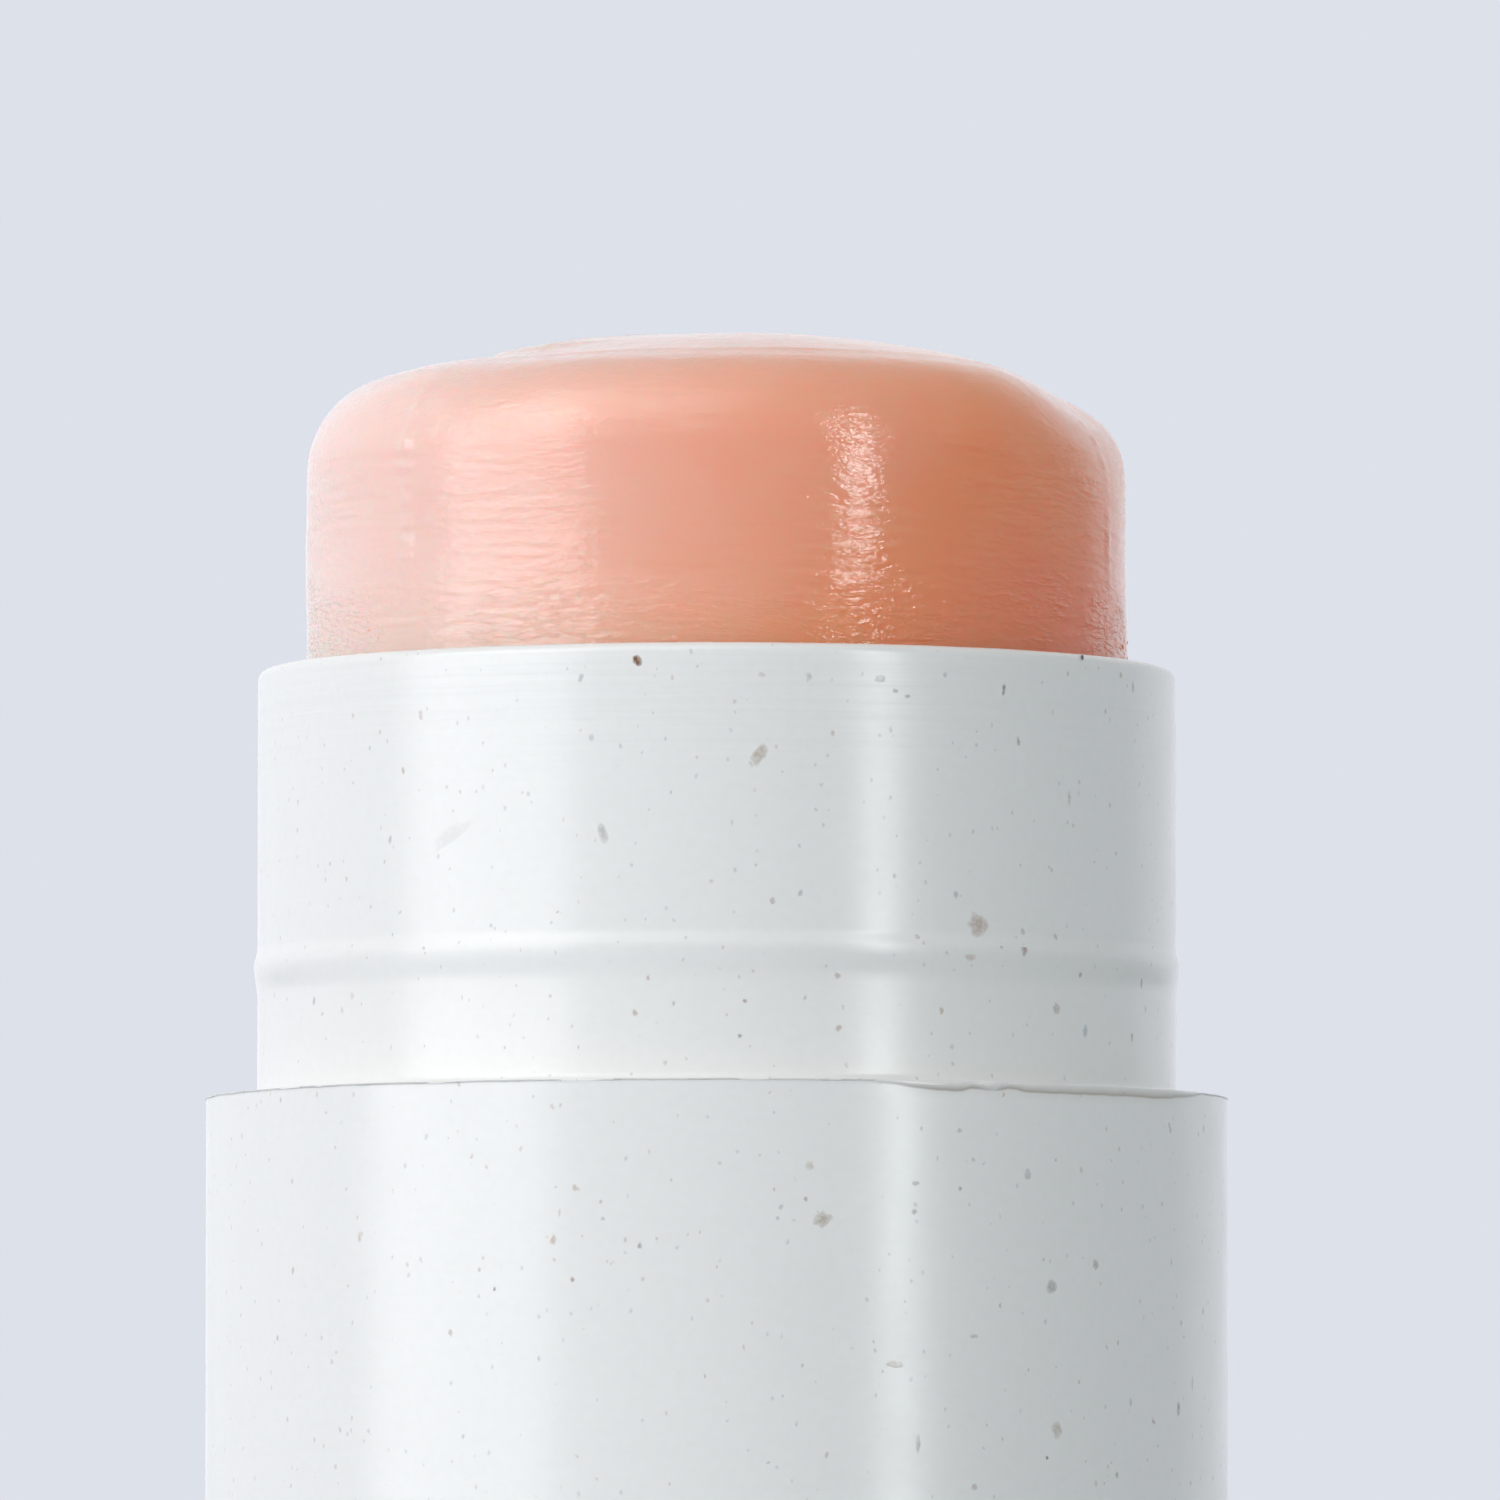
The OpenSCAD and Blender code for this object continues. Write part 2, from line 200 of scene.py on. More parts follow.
class StickSettings(bpy.types.PropertyGroup):
    """All settings of the lip balm stick"""

    shell: bpy.props.PointerProperty(type=ShellSettings, name="Shell", description="Barrel and dial")
    wax: bpy.props.PointerProperty(type=WaxSettings, name="Wax", description="The stick of balm")
    stage: bpy.props.PointerProperty(type=StageSettings, name="Stage", description="Camera, lamps and floor")


# ---------------------------------------------------------------- shape helpers


def arc(x, z, r, start, end, steps):
    """Points on an arc in the plane of a profile, angles in degrees."""
    turn = [math.radians(start + (end - start) * i / steps) for i in range(steps + 1)]
    return [(x + r * math.cos(a), z + r * math.sin(a)) for a in turn]


def line(start, end, steps):
    """Points from start to end, without the last one."""
    return [(start[0] + (end[0] - start[0]) * i / steps, start[1] + (end[1] - start[1]) * i / steps)
            for i in range(steps)]


def angle_from(phi, middle):
    """Signed difference of two angles in degrees, between -180 and 180."""
    return (phi - middle + 180.0) % 360.0 - 180.0


def smooth(low, high, value):
    """0 below low, 1 above high, smooth between them."""
    t = min(1.0, max(0.0, (value - low) / (high - low)))
    return t * t * (3.0 - 2.0 * t)


def plateau(steps, value):
    """0, rising to 1 between the first two steps and falling back to 0 between the last two."""
    return smooth(steps[0], steps[1], value) * (1.0 - smooth(steps[2], steps[3], value))


def ridge(value, middle, width):
    """A bump of height 1 round middle."""
    return math.exp(-((value - middle) / width) ** 2)


def grain(x, y, z, seed=0.0):
    """Smooth noise between about -1 and 1."""
    return noise.noise(Vector((x + seed, y - seed, z + 0.37 * seed)))


def look_bead(z):
    """How far the cap bead stands out of the neck at the height z, in mm."""
    look = settings().shell
    up = z - LEDGE_Z - look.bead_up / MM
    if -BEAD_LOW < up < 0.0:
        return look.bead_out / MM * 0.5 * (1.0 + math.cos(math.pi * up / BEAD_LOW))
    return look.bead_out / MM * (1.0 - up / BEAD_TOP) if 0.0 <= up < BEAD_TOP else 0.0


def at(phi, r, z):
    """A point in metres from the angle (degrees from the front, to the right), radius and height in mm."""
    a = math.radians(phi)
    return (r * math.sin(a) * MM, -r * math.cos(a) * MM, z * MM)


def new_object(name, points, faces, materials, shares=None):
    """A smooth mesh object from points and faces, with one value per point for its material to read."""
    mesh = bpy.data.meshes.new(name)
    mesh.from_pydata(points, [], faces)
    mesh.validate()
    mesh.polygons.foreach_set("use_smooth", [True] * len(mesh.polygons))
    for material in materials:
        mesh.materials.append(material)
    if shares:
        mesh.attributes.new("share", "FLOAT", "POINT").data.foreach_set("value", shares)
    mesh.update()
    piece = bpy.data.objects.new(name, mesh)
    bpy.context.scene.collection.objects.link(piece)
    return piece


def revolve(name, profile, form, materials, closed):
    """Turns a profile of (r, z) in mm about the axis. form(i, phi, r, z) returns the shaped (r, z, share).

    A closed profile is a ring; an open one starts and ends on the axis."""
    points, faces, shares = [], [], []
    rows = []
    for i, (r, z) in enumerate(profile):
        if r == 0.0:
            r1, z1, share = form(i, 0.0, r, z)
            rows.append([len(points)] * COLUMNS)
            points.append(at(0.0, 0.0, z1))
            shares.append(share)
            continue
        rows.append(list(range(len(points), len(points) + COLUMNS)))
        for c in range(COLUMNS):
            phi = c * 360.0 / COLUMNS
            r1, z1, share = form(i, phi, r, z)
            points.append(at(phi, r1, z1))
            shares.append(share)
    pairs = list(zip(rows, rows[1:]))
    if closed:
        pairs.append((rows[-1], rows[0]))
    for low, high in pairs:
        for c in range(COLUMNS):
            d = (c + 1) % COLUMNS
            corners = [low[c], low[d], high[d], high[c]]
            faces.append([v for k, v in enumerate(corners) if v not in corners[:k]])
    return new_object(name, points, faces, materials, shares)


# ---------------------------------------------------------------- material helpers

SHELL_IOR = 1.58
GREY_SPECK = (0.30, 0.30, 0.31)
BLUE_SPECK = (0.34, 0.38, 0.48)
# Colour of the lip's lower edge: real grime in the groove, plus painted shade for the shadow under the
# overhanging lip.
LIP_DIRT_AND_SHADE = (0.46, 0.40, 0.31)
# Specks: cells per metre, least and greatest radius in cells, share of cells that have one, strength
SPECK_LAYERS = (
    (4200.0, 0.10, 0.18, 0.85, 0.30),
    (2600.0, 0.06, 0.13, 0.70, 0.42),
    (1200.0, 0.04, 0.085, 0.55, 0.50),
)
SPECK_STIR = 0.10 * MM
MOULD_LINE_DEEP = 0.015 * MM

WAX_IOR = 1.44
WAX_SKIN_IOR = 1.75
# How far light goes into the wax, and its shares for red, green and blue
WAX_SCATTER = 2.2 * MM
WAX_SCATTER_SHARES = (1.0, 0.15, 0.09)
# Depths of the smeared skin's level crinkles, fine net and torn dashes
CRINKLE_DEEP = 0.050 * MM
NET_DEEP = 0.024 * MM
TORN_DEEP = 0.028 * MM


class Shader:
    """Small helper that adds nodes to one material."""

    def __init__(self, name):
        self.material = bpy.data.materials.new(name)
        self.material.use_nodes = True
        self.tree = self.material.node_tree
        self.tree.nodes.clear()
        self.out = self.add("ShaderNodeOutputMaterial")
        self.bsdf = self.add("ShaderNodeBsdfPrincipled")
        self.link(self.bsdf.outputs["BSDF"], self.out.inputs["Surface"])
        self.place = self.add("ShaderNodeTexCoord").outputs["Object"]

    def add(self, kind, **values):
        node = self.tree.nodes.new(kind)
        for key, value in values.items():
            setattr(node, key, value)
        return node

    def link(self, out, to):
        self.tree.links.new(out, to)

    def put(self, socket, value):
        if isinstance(value, bpy.types.NodeSocket):
            self.link(value, socket)
        else:
            socket.default_value = value

    def surface(self, **values):
        """Sets inputs of the surface, each named with _ for its spaces."""
        for key, value in values.items():
            self.put(self.bsdf.inputs[key.replace("_", " ")], value)

    def math(self, kind, a, b=0.0, clamp=False):
        node = self.add("ShaderNodeMath", operation=kind, use_clamp=clamp)
        self.put(node.inputs[0], a)
        self.put(node.inputs[1], b)
        return node.outputs[0]

    def vector(self, kind, a, b):
        node = self.add("ShaderNodeVectorMath", operation=kind)
        self.put(node.inputs[0], a)
        self.put(node.inputs[1], b)
        return node.outputs[0]

    def noise(self, scale, detail=2.0, roughness=0.5, place=None, colour=False):
        node = self.add("ShaderNodeTexNoise")
        self.link(place or self.place, node.inputs["Vector"])
        node.inputs["Scale"].default_value = scale
        node.inputs["Detail"].default_value = detail
        node.inputs["Roughness"].default_value = roughness
        return node.outputs["Color" if colour else "Fac"]

    def swirl(self, scale, reach, place=None):
        """A vector that wanders by up to half the reach either way."""
        wander = self.vector("SUBTRACT", self.noise(scale, 2.0, place=place, colour=True), (0.5, 0.5, 0.5))
        return self.vector("MULTIPLY", wander, reach)

    def spread(self, value, low, high, to_low=0.0, to_high=1.0, kind="SMOOTHSTEP"):
        node = self.add("ShaderNodeMapRange", interpolation_type=kind)
        self.put(node.inputs["Value"], value)
        self.put(node.inputs["From Min"], low)
        self.put(node.inputs["From Max"], high)
        self.put(node.inputs["To Min"], to_low)
        self.put(node.inputs["To Max"], to_high)
        return node.outputs["Result"]

    def share(self):
        """The value that new_object gave each point."""
        return self.add("ShaderNodeAttribute", attribute_name="share").outputs["Fac"]

    def axis(self, name):
        part = self.add("ShaderNodeSeparateXYZ")
        self.link(self.place, part.inputs[0])
        return part.outputs[name]

    def mix(self, share, a, b):
        node = self.add("ShaderNodeMix", data_type="RGBA")
        self.put(node.inputs["Factor"], share)
        self.put(node.inputs[6], a)
        self.put(node.inputs[7], b)
        return node.outputs[2]

    def cells(self, scale, place):
        node = self.add("ShaderNodeTexVoronoi")
        self.link(place, node.inputs["Vector"])
        node.inputs["Scale"].default_value = scale
        return node.outputs["Distance"], node.outputs["Color"]

    def bump(self, height, depth, below=None):
        node = self.add("ShaderNodeBump")
        self.link(height, node.inputs["Height"])
        node.inputs["Distance"].default_value = depth
        node.inputs["Strength"].default_value = 1.0
        if below:
            self.link(below, node.inputs["Normal"])
        return node.outputs["Normal"]


def rgba(colour):
    return (*colour[:3], 1.0)


def speckled_plastic(name, seed):
    """Off-white moulded plastic with brown, grey and blue specks of plant fibre."""
    look = settings().shell
    s = Shader(name)
    seeded = s.vector("ADD", s.place, (seed, 0.0, 0.0))
    stir = s.swirl(7000.0, (SPECK_STIR, SPECK_STIR, SPECK_STIR), seeded)
    stirred = s.vector("ADD", seeded, stir)
    mottle = s.spread(s.noise(6500.0, 2.0, place=seeded), 0.3, 0.7, kind="LINEAR")
    colour = s.mix(mottle, rgba([c * 0.98 for c in look.colour]), rgba(look.colour))
    for scale, least, most, share, strength in SPECK_LAYERS:
        long_way = s.vector("MULTIPLY", stirred, (1.0, 1.0, 0.7))
        distance, tint = s.cells(scale, long_way)
        parts = s.add("ShaderNodeSeparateColor")
        s.link(tint, parts.inputs[0])
        there = s.math("LESS_THAN", parts.outputs[0], share)
        size = s.spread(parts.outputs[1], 0.0, 1.0, least, most, "LINEAR")
        soft = s.math("MULTIPLY", size, 0.35)
        spot = s.spread(distance, size, soft, 0.0, 1.0)
        amount = s.math("MULTIPLY", s.math("MULTIPLY", spot, there), strength)
        grey, blue = (s.math("GREATER_THAN", parts.outputs[2], above) for above in (0.45, 0.88))
        kind = s.mix(grey, rgba(look.speck_colour), rgba(GREY_SPECK))
        colour = s.mix(amount, colour, s.mix(blue, kind, rgba(BLUE_SPECK)))
    # Painted shade and grime: the share value darkens the lip's lower edge, standing in for the shadow under
    # the lip as well as the grime in its groove.
    colour = s.mix(s.math("MULTIPLY", s.share(), 0.75), colour, rgba(LIP_DIRT_AND_SHADE))
    uneven = s.noise(900.0, 2.0, place=seeded)
    rough = s.spread(uneven, 0.3, 0.7, look.roughness - 0.03, look.roughness + 0.01)
    level = s.vector("MULTIPLY", seeded, (160.0, 160.0, 5200.0))
    near_rim = s.spread(s.axis("Z"), (RIM_Z - 2.6) * MM, (RIM_Z - 0.4) * MM, 0.25, 1.0)
    lines = s.bump(s.math("MULTIPLY", s.noise(1.0, 2.0, place=level), near_rim), MOULD_LINE_DEEP)
    s.surface(Base_Color=colour, Roughness=rough, IOR=SHELL_IOR, Normal=lines)
    return s.material


def wax_painted_light(s):
    """Painted light and shade on the wax: a factor that is higher, for a paler colour, on the lit left and
    towards the top on the right, and below 0, for a deeper colour, on the shaded lower right.
    """
    across = s.math("MULTIPLY", s.axis("X"), -0.75 / (BALM_R * MM))
    slope = s.math("SUBTRACT", 0.04 / MM, s.math("MULTIPLY", across, 0.09 / MM))
    upward = s.math("MULTIPLY", s.math("SUBTRACT", s.axis("Z"), (RIM_Z + 2.7) * MM), slope)
    cloudy = s.math("MULTIPLY", s.math("SUBTRACT", s.noise(380.0, 2.0), 0.5), 0.35)
    return s.math("ADD", s.math("ADD", across, upward), s.math("ADD", cloudy, 0.42))


def smeared_skin(s):
    """The normal of the wax's glossy skin: level crinkles, a fine net and torn dashes near the rim."""
    place = s.vector("ADD", s.place, s.swirl(900.0, (0.0, 0.0, 0.35 * MM)))
    level = s.noise(1.0, 4.0, 0.65, place=s.vector("MULTIPLY", place, (900.0, 900.0, 4400.0)))
    crinkles = s.math("ABSOLUTE", s.math("SUBTRACT", level, 0.5))
    woven = s.noise(5200.0, 2.0, 0.55, place=s.vector("MULTIPLY", place, (0.8, 0.8, 1.3)))
    net = s.math("ABSOLUTE", s.math("SUBTRACT", woven, 0.5))
    elsewhere = s.vector("ADD", s.place, (0.3, 0.1, 0.2))
    patches = s.spread(s.noise(620.0, 2.0, place=elsewhere), 0.40, 0.60, 0.25, 1.0)
    wavy = s.math("ADD", s.axis("Z"), s.math("MULTIPLY", s.noise(600.0, 2.0), 1.1 * MM))
    low_down = s.spread(wavy, (RIM_Z + 1.2) * MM, (RIM_Z + 2.1) * MM, 1.0, 0.0)
    flat = s.vector("MULTIPLY", s.place, (4200.0, 4200.0, 15000.0))
    dashes = s.spread(s.noise(1.0, 2.0, place=flat), 0.44, 0.66)
    where = s.math("MULTIPLY", low_down, s.spread(s.noise(1100.0, 2.0), 0.38, 0.55))
    smeared = s.bump(crinkles, CRINKLE_DEEP)
    rumpled = s.bump(s.math("MULTIPLY", net, patches), NET_DEEP, smeared)
    return s.bump(s.math("MULTIPLY", dashes, where), TORN_DEEP, rumpled)


def coral_wax(name):
    """Slightly clear coral wax under a glossy smeared skin, with painted light and shade in its colour: paler
    on the lit left and top, deeper on the shaded lower right.
    """
    look = settings().wax
    s = Shader(name)
    painted_light = wax_painted_light(s)
    # Painted shade: a deeper colour for the shaded lower right of the wax, then the pale colour as painted
    # light on its lit left and top.
    painted_shade_colour = [c * k for c, k in zip(look.colour, (1.0, 0.64, 0.64))]
    body = s.mix(s.spread(painted_light, -0.45, 0.0, kind="LINEAR"), rgba(painted_shade_colour), rgba(look.colour))
    lit_and_shaded_colour = s.mix(s.spread(painted_light, 0.0, 1.0, kind="LINEAR"), body, rgba(look.pale_colour))
    rough = s.spread(s.noise(1500.0, 2.0), 0.35, 0.65, look.roughness - 0.05, look.roughness + 0.06)
    s.surface(Base_Color=lit_and_shaded_colour, Roughness=rough, IOR=WAX_IOR, Specular_IOR_Level=0.05,
              Subsurface_Weight=1.0, Subsurface_Radius=WAX_SCATTER_SHARES, Subsurface_Scale=WAX_SCATTER,
              Coat_Weight=0.8, Coat_Roughness=0.12, Coat_IOR=WAX_SKIN_IOR, Coat_Normal=smeared_skin(s))
    return s.material


def smeared_wax(name):
    """Thin wax that was wiped off on the rim, and small crumbs of it."""
    look = settings().wax
    s = Shader(name)
    cloudy = s.spread(s.noise(2500.0, 2.0), 0.30, 0.60)
    s.surface(Base_Color=s.mix(cloudy, rgba(look.colour), rgba(look.pale_colour)), Roughness=0.35,
              IOR=WAX_IOR, Normal=s.bump(s.noise(6000.0, 2.0), 0.010 * MM))
    return s.material


def plain_plastic(name, colour, roughness):
    """Plain moulded plastic for the parts inside."""
    s = Shader(name)
    cloud = s.spread(s.noise(500.0, 2.0), 0.3, 0.7)
    rough = s.spread(s.noise(1200.0, 2.0), 0.3, 0.7, roughness - 0.04, roughness + 0.05)
    s.surface(Base_Color=s.mix(cloud, rgba(colour), rgba([c * 0.96 for c in colour])), Roughness=rough,
              Normal=s.bump(s.noise(2500.0, 2.0), 0.003 * MM))
    return s.material


def fleck_material(name, colour):
    """A fibre fleck that lies under the plastic's skin and fades out at its edge."""
    shell = settings().shell
    s = Shader(name)
    ragged = s.spread(s.noise(16000.0, 2.0), 0.3, 0.7, 0.8, 1.4)
    fibre = s.mix(s.math("MULTIPLY", s.share(), ragged, True), rgba(shell.colour), rgba(colour))
    s.surface(Base_Color=fibre, Roughness=shell.roughness, IOR=SHELL_IOR)
    return s.material


# ---------------------------------------------------------------- operators


# Where the parting lip is torn: degrees where it starts, is full, still is full and ends
TORN_FRONT = (17.0, 26.0, 58.0, 74.0)
TORN_BACK = (198.0, 212.0, 232.0, 250.0)
# A standing nub of the lip, and nicks in it: middle and width in degrees, share
LIP_NUB = (31.6, 0.9)
LIP_NICKS = ((29.4, 1.0, 1.0), (34.2, 1.4, 1.0), (70.0, 1.6, 0.8))


class BALM_OT_barrel(bpy.types.Operator):
    """Make the moulded barrel with its neck, cap bead, parting lip and guide ribs"""

    bl_idname = "balm_stick.barrel"
    bl_label = "Barrel"

    def execute(self, context):
        look = settings().shell
        lip_height, lip_out = look.lip_height / MM, look.lip_out / MM
        bead_out, bead_z = look.bead_out / MM, LEDGE_Z + look.bead_up / MM
        profile, roles = [], []

        def part(points, role=""):
            profile.extend(points)
            roles.extend([role] * len(points))

        part([(BORE_R + FOOT_ROUND, BARREL_Z), (BARREL_R - FOOT_ROUND, BARREL_Z)])
        part([(BARREL_R - 0.06, BARREL_Z + 0.06), (BARREL_R, BARREL_Z + FOOT_ROUND)])
        part(line((BARREL_R, BARREL_Z + 1.0), (BARREL_R, LEDGE_Z - 0.5), 40))
        part([(BARREL_R, LEDGE_Z - 0.5), (BARREL_R, LEDGE_Z - 0.3)])
        for role in ("lip_side", "lip_groove", "lip_low", "lip_high", "lip_top", "lip_in"):
            part([(BARREL_R, LEDGE_Z)], role)
        part([(BARREL_R - 0.16, LEDGE_Z), (BARREL_R - 0.3, LEDGE_Z)])
        part(arc(NECK_R + NECK_FILLET, LEDGE_Z + NECK_FILLET, NECK_FILLET, 270, 180, 6))
        part(line((NECK_R, LEDGE_Z + 0.25), (NECK_R, bead_z - BEAD_LOW), 8))
        part([(NECK_R + bead_out * 0.5 * (1.0 - math.cos(math.pi * i / 9)), bead_z - BEAD_LOW * (1.0 - i / 9))
              for i in range(10)])
        part(line((NECK_R + bead_out - 0.006, bead_z + 0.04), (NECK_R, bead_z + BEAD_TOP), 3))
        part([(NECK_R, bead_z + BEAD_TOP), (NECK_R, bead_z + BEAD_TOP + 0.03)])
        part(line((NECK_R, bead_z + BEAD_TOP + 0.2), (NECK_R, RIM_Z - 0.2), 16))
        part(arc(NECK_R - RIM_ROUND, RIM_Z - RIM_ROUND, RIM_ROUND, 0, 90, 8), "rim")
        part([(NECK_R - 0.3, RIM_Z), (BORE_R + RIM_EDGE, RIM_Z)], "rim")
        part([(BORE_R + 0.04, RIM_Z - 0.04), (BORE_R, RIM_Z - RIM_EDGE)], "rim")
        part([(BORE_R, RIM_Z - 2.0), (BORE_R, RIB_TOP_Z + 0.3)])
        part([(BORE_R, RIB_TOP_Z + 0.02)])
        part([(BORE_R, RIB_TOP_Z), (BORE_R, RIB_LOW_Z)], "rib")
        groove_z, groove_slope_z, groove_end_z = (BARREL_Z + up for up in SNAP_GROOVE_UP)
        groove_r = BORE_R + SNAP_GROOVE_DEEP
        part([(BORE_R, RIB_LOW_Z - 0.02), (BORE_R, groove_end_z), (groove_r, groove_slope_z)])
        part([(groove_r, groove_z), (BORE_R, groove_z), (BORE_R, BARREL_Z + FOOT_ROUND)])

        def lip(phi):
            """Height of the lip, its wave along the top, its reach, and how much its lower edge is darkened
            by grime and painted shade.
            """
            share = max(plateau(TORN_FRONT, phi), 0.7 * plateau(TORN_BACK, phi))
            nub = ridge(phi, *LIP_NUB)
            nicks = sum(deep * ridge(phi, middle, width) for middle, width, deep in LIP_NICKS)
            rough = 0.12 * grain(phi / 6.0, 3.1, 0.0) + 0.08 * grain(phi / 1.7, 8.7, 0.0)
            tall = lip_height * (0.22 + 0.69 * share + rough)
            tall *= 1.0 - 0.35 * min(1.0, nicks)
            wave = 0.010 * grain(phi / 5.0, 5.5, 0.0) + 0.006 * grain(phi / 1.3, 2.2, 0.0)
            wave += 0.018 * nub - 0.014 * nicks
            reach = lip_out * (0.25 + 0.75 * share) * (1.0 - 0.5 * min(1.0, nicks)) + 0.02 * nub
            return tall, wave, reach, share * (1.0 - 0.8 * nub)

        def form(i, phi, r, z):
            role, dirt_and_shade = roles[i], 0.0
            if role == "rib":
                if any(abs(angle_from(phi, a)) <= RIB_HALF_ANGLE for a in RIB_ANGLES):
                    r = RIB_FACE_R
            elif role.startswith("lip"):
                tall, wave, reach, grime_and_shade = lip(phi)
                # The third value is how much grime and painted shade darkens each row of the lip.
                drop, stand, dirt_and_shade = {
                    "lip_side": (tall + 0.035, 0.0, 0.12),
                    "lip_groove": (tall + 0.004, -0.014 * grime_and_shade, 1.0),
                    "lip_low": (tall - 0.018, reach * 0.75, 0.55),
                    "lip_high": (0.022 - 0.5 * wave, reach, 0.1),
                    "lip_top": (-wave, -0.02, 0.0),
                    "lip_in": (-0.5 * wave, -0.09, 0.0),
                }[role]
                r, z, dirt_and_shade = r + stand, z - drop, dirt_and_shade * grime_and_shade
            elif role == "rim":
                z += 0.005 * grain(phi / 7.0, 4.0, 0.0) * smooth(RIM_Z - 0.1, RIM_Z, z)
            return r, z, dirt_and_shade

        shell = speckled_plastic("speckled_plastic", 0.0)
        piece = revolve("barrel_skin", profile, form, [shell], True)
        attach(piece, "barrel")
        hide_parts("barrel")
        return {"FINISHED"}


# Flecks of fibre in the shell: degrees from the front, middle, width and height in mm, tilt, kind, cover
NECK_FLECKS = (
    (-9.6, 54.46, 0.17, 0.20, 20, "brown", 0.95), (33.8, 50.47, 0.42, 0.40, 25, "rust", 0.42),
    (5.3, 53.03, 0.22, 0.42, -25, "tan", 0.5), (40.7, 50.13, 0.15, 0.25, -15, "brown", 0.5),
    (-13.9, 51.83, 0.17, 0.36, 20, "grey", 0.4), (37.8, 54.11, 0.09, 0.22, -8, "grey", 0.75),
    (66.0, 49.73, 0.08, 0.19, 0, "dark", 0.6), (46.6, 49.24, 0.17, 0.21, 15, "tan", 0.45),
    (52.1, 48.92, 0.15, 0.24, -12, "blue", 0.5), (51.6, 54.69, 0.10, 0.10, 0, "dark", 0.95),
    (11.4, 54.23, 0.13, 0.18, 0, "grey", 0.3), (20.4, 54.21, 0.20, 0.11, 0, "grey", 0.4),
    (63.7, 54.31, 0.09, 0.24, 0, "grey", 0.4), (6.9, 50.79, 0.10, 0.12, 0, "brown", 0.45),
    (63.3, 48.88, 0.10, 0.18, -10, "grey", 0.5), (40.1, 53.32, 0.08, 0.18, 10, "tan", 0.55),
    (-39.0, 53.73, 0.09, 0.19, 5, "pink", 0.5), (14.9, 49.66, 0.12, 0.12, 0, "rust", 0.35),
    (22.4, 54.03, 0.10, 0.07, 0, "brown", 0.55), (2.9, 48.73, 0.08, 0.08, 0, "grey", 0.6),
    (49.0, 52.50, 0.08, 0.26, 4, "tan", 0.35), (25.2, 50.27, 0.11, 0.10, 0, "rust", 0.4),
    (46.4, 50.35, 0.10, 0.13, 20, "rust", 0.45), (51.0, 49.78, 0.08, 0.10, 0, "brown", 0.55),
    (37.1, 50.17, 0.09, 0.13, 0, "tan", 0.35), (32.5, 49.98, 0.24, 0.12, 0, "rust", 0.3),
    (3.5, 49.26, 0.08, 0.08, 0, "brown", 0.55), (5.6, 54.25, 0.14, 0.09, 0, "tan", 0.3),
    (-51.1, 49.47, 0.12, 0.14, 0, "pink", 0.3), (24.0, 53.95, 0.10, 0.07, 0, "grey", 0.5),
    (-34.2, 51.88, 0.95, 0.28, 32, "grey", 0.13),
)
BODY_FLECKS = (
    (11.7, 45.92, 0.34, 0.28, 30, "tan", 0.5), (39.9, 44.93, 0.23, 0.24, 0, "grey", 0.5),
    (63.1, 43.12, 0.12, 0.27, -5, "grey", 0.65), (40.6, 42.76, 0.24, 0.28, 12, "tan", 0.4),
    (19.8, 43.72, 0.30, 0.13, 0, "tan", 0.35), (46.6, 45.30, 0.15, 0.19, 0, "grey", 0.5),
    (36.5, 46.65, 0.16, 0.19, 0, "grey", 0.4), (22.6, 42.50, 0.08, 0.37, 0, "grey", 0.4),
    (10.3, 46.73, 0.16, 0.17, 0, "tan", 0.3), (29.4, 41.87, 0.15, 0.13, 0, "brown", 0.35),
    (66.9, 43.53, 0.07, 0.30, 0, "grey", 0.35), (-47.3, 43.82, 0.11, 0.13, 0, "grey", 0.25),
    (-15.8, 45.00, 0.08, 0.10, 0, "brown", 0.5), (-8.3, 45.50, 0.08, 0.10, 0, "grey", 0.6),
    (27.6, 47.29, 0.11, 0.10, 0, "grey", 0.45), (27.7, 46.40, 0.08, 0.08, 0, "grey", 0.6),
    (22.2, 46.04, 0.11, 0.10, 0, "grey", 0.5), (22.4, 46.48, 0.14, 0.08, 0, "grey", 0.45),
    (9.8, 46.22, 0.08, 0.10, 0, "brown", 0.4), (-24.9, 44.87, 0.05, 0.08, 0, "dark", 0.6),
    (52.7, 43.20, 0.08, 0.16, 0, "grey", 0.4), (39.2, 42.32, 0.07, 0.07, 0, "dark", 0.6),
    (50.2, 42.08, 0.08, 0.13, 0, "grey", 0.5), (29.4, 44.16, 0.15, 0.08, 0, "tan", 0.4),
)
FLECK_COLOURS = {
    "brown": (0.20, 0.08, 0.03), "rust": (0.32, 0.15, 0.07), "tan": (0.34, 0.25, 0.15),
    "grey": (0.26, 0.26, 0.25), "blue": (0.32, 0.37, 0.45), "pink": (0.50, 0.33, 0.31),
    "dark": (0.09, 0.06, 0.05),
}
# Flecks made up for the rest of the barrel, and how far down the front the measured ones go, in mm
MORE_FLECKS = 110
MEASURED_BODY = 7.0


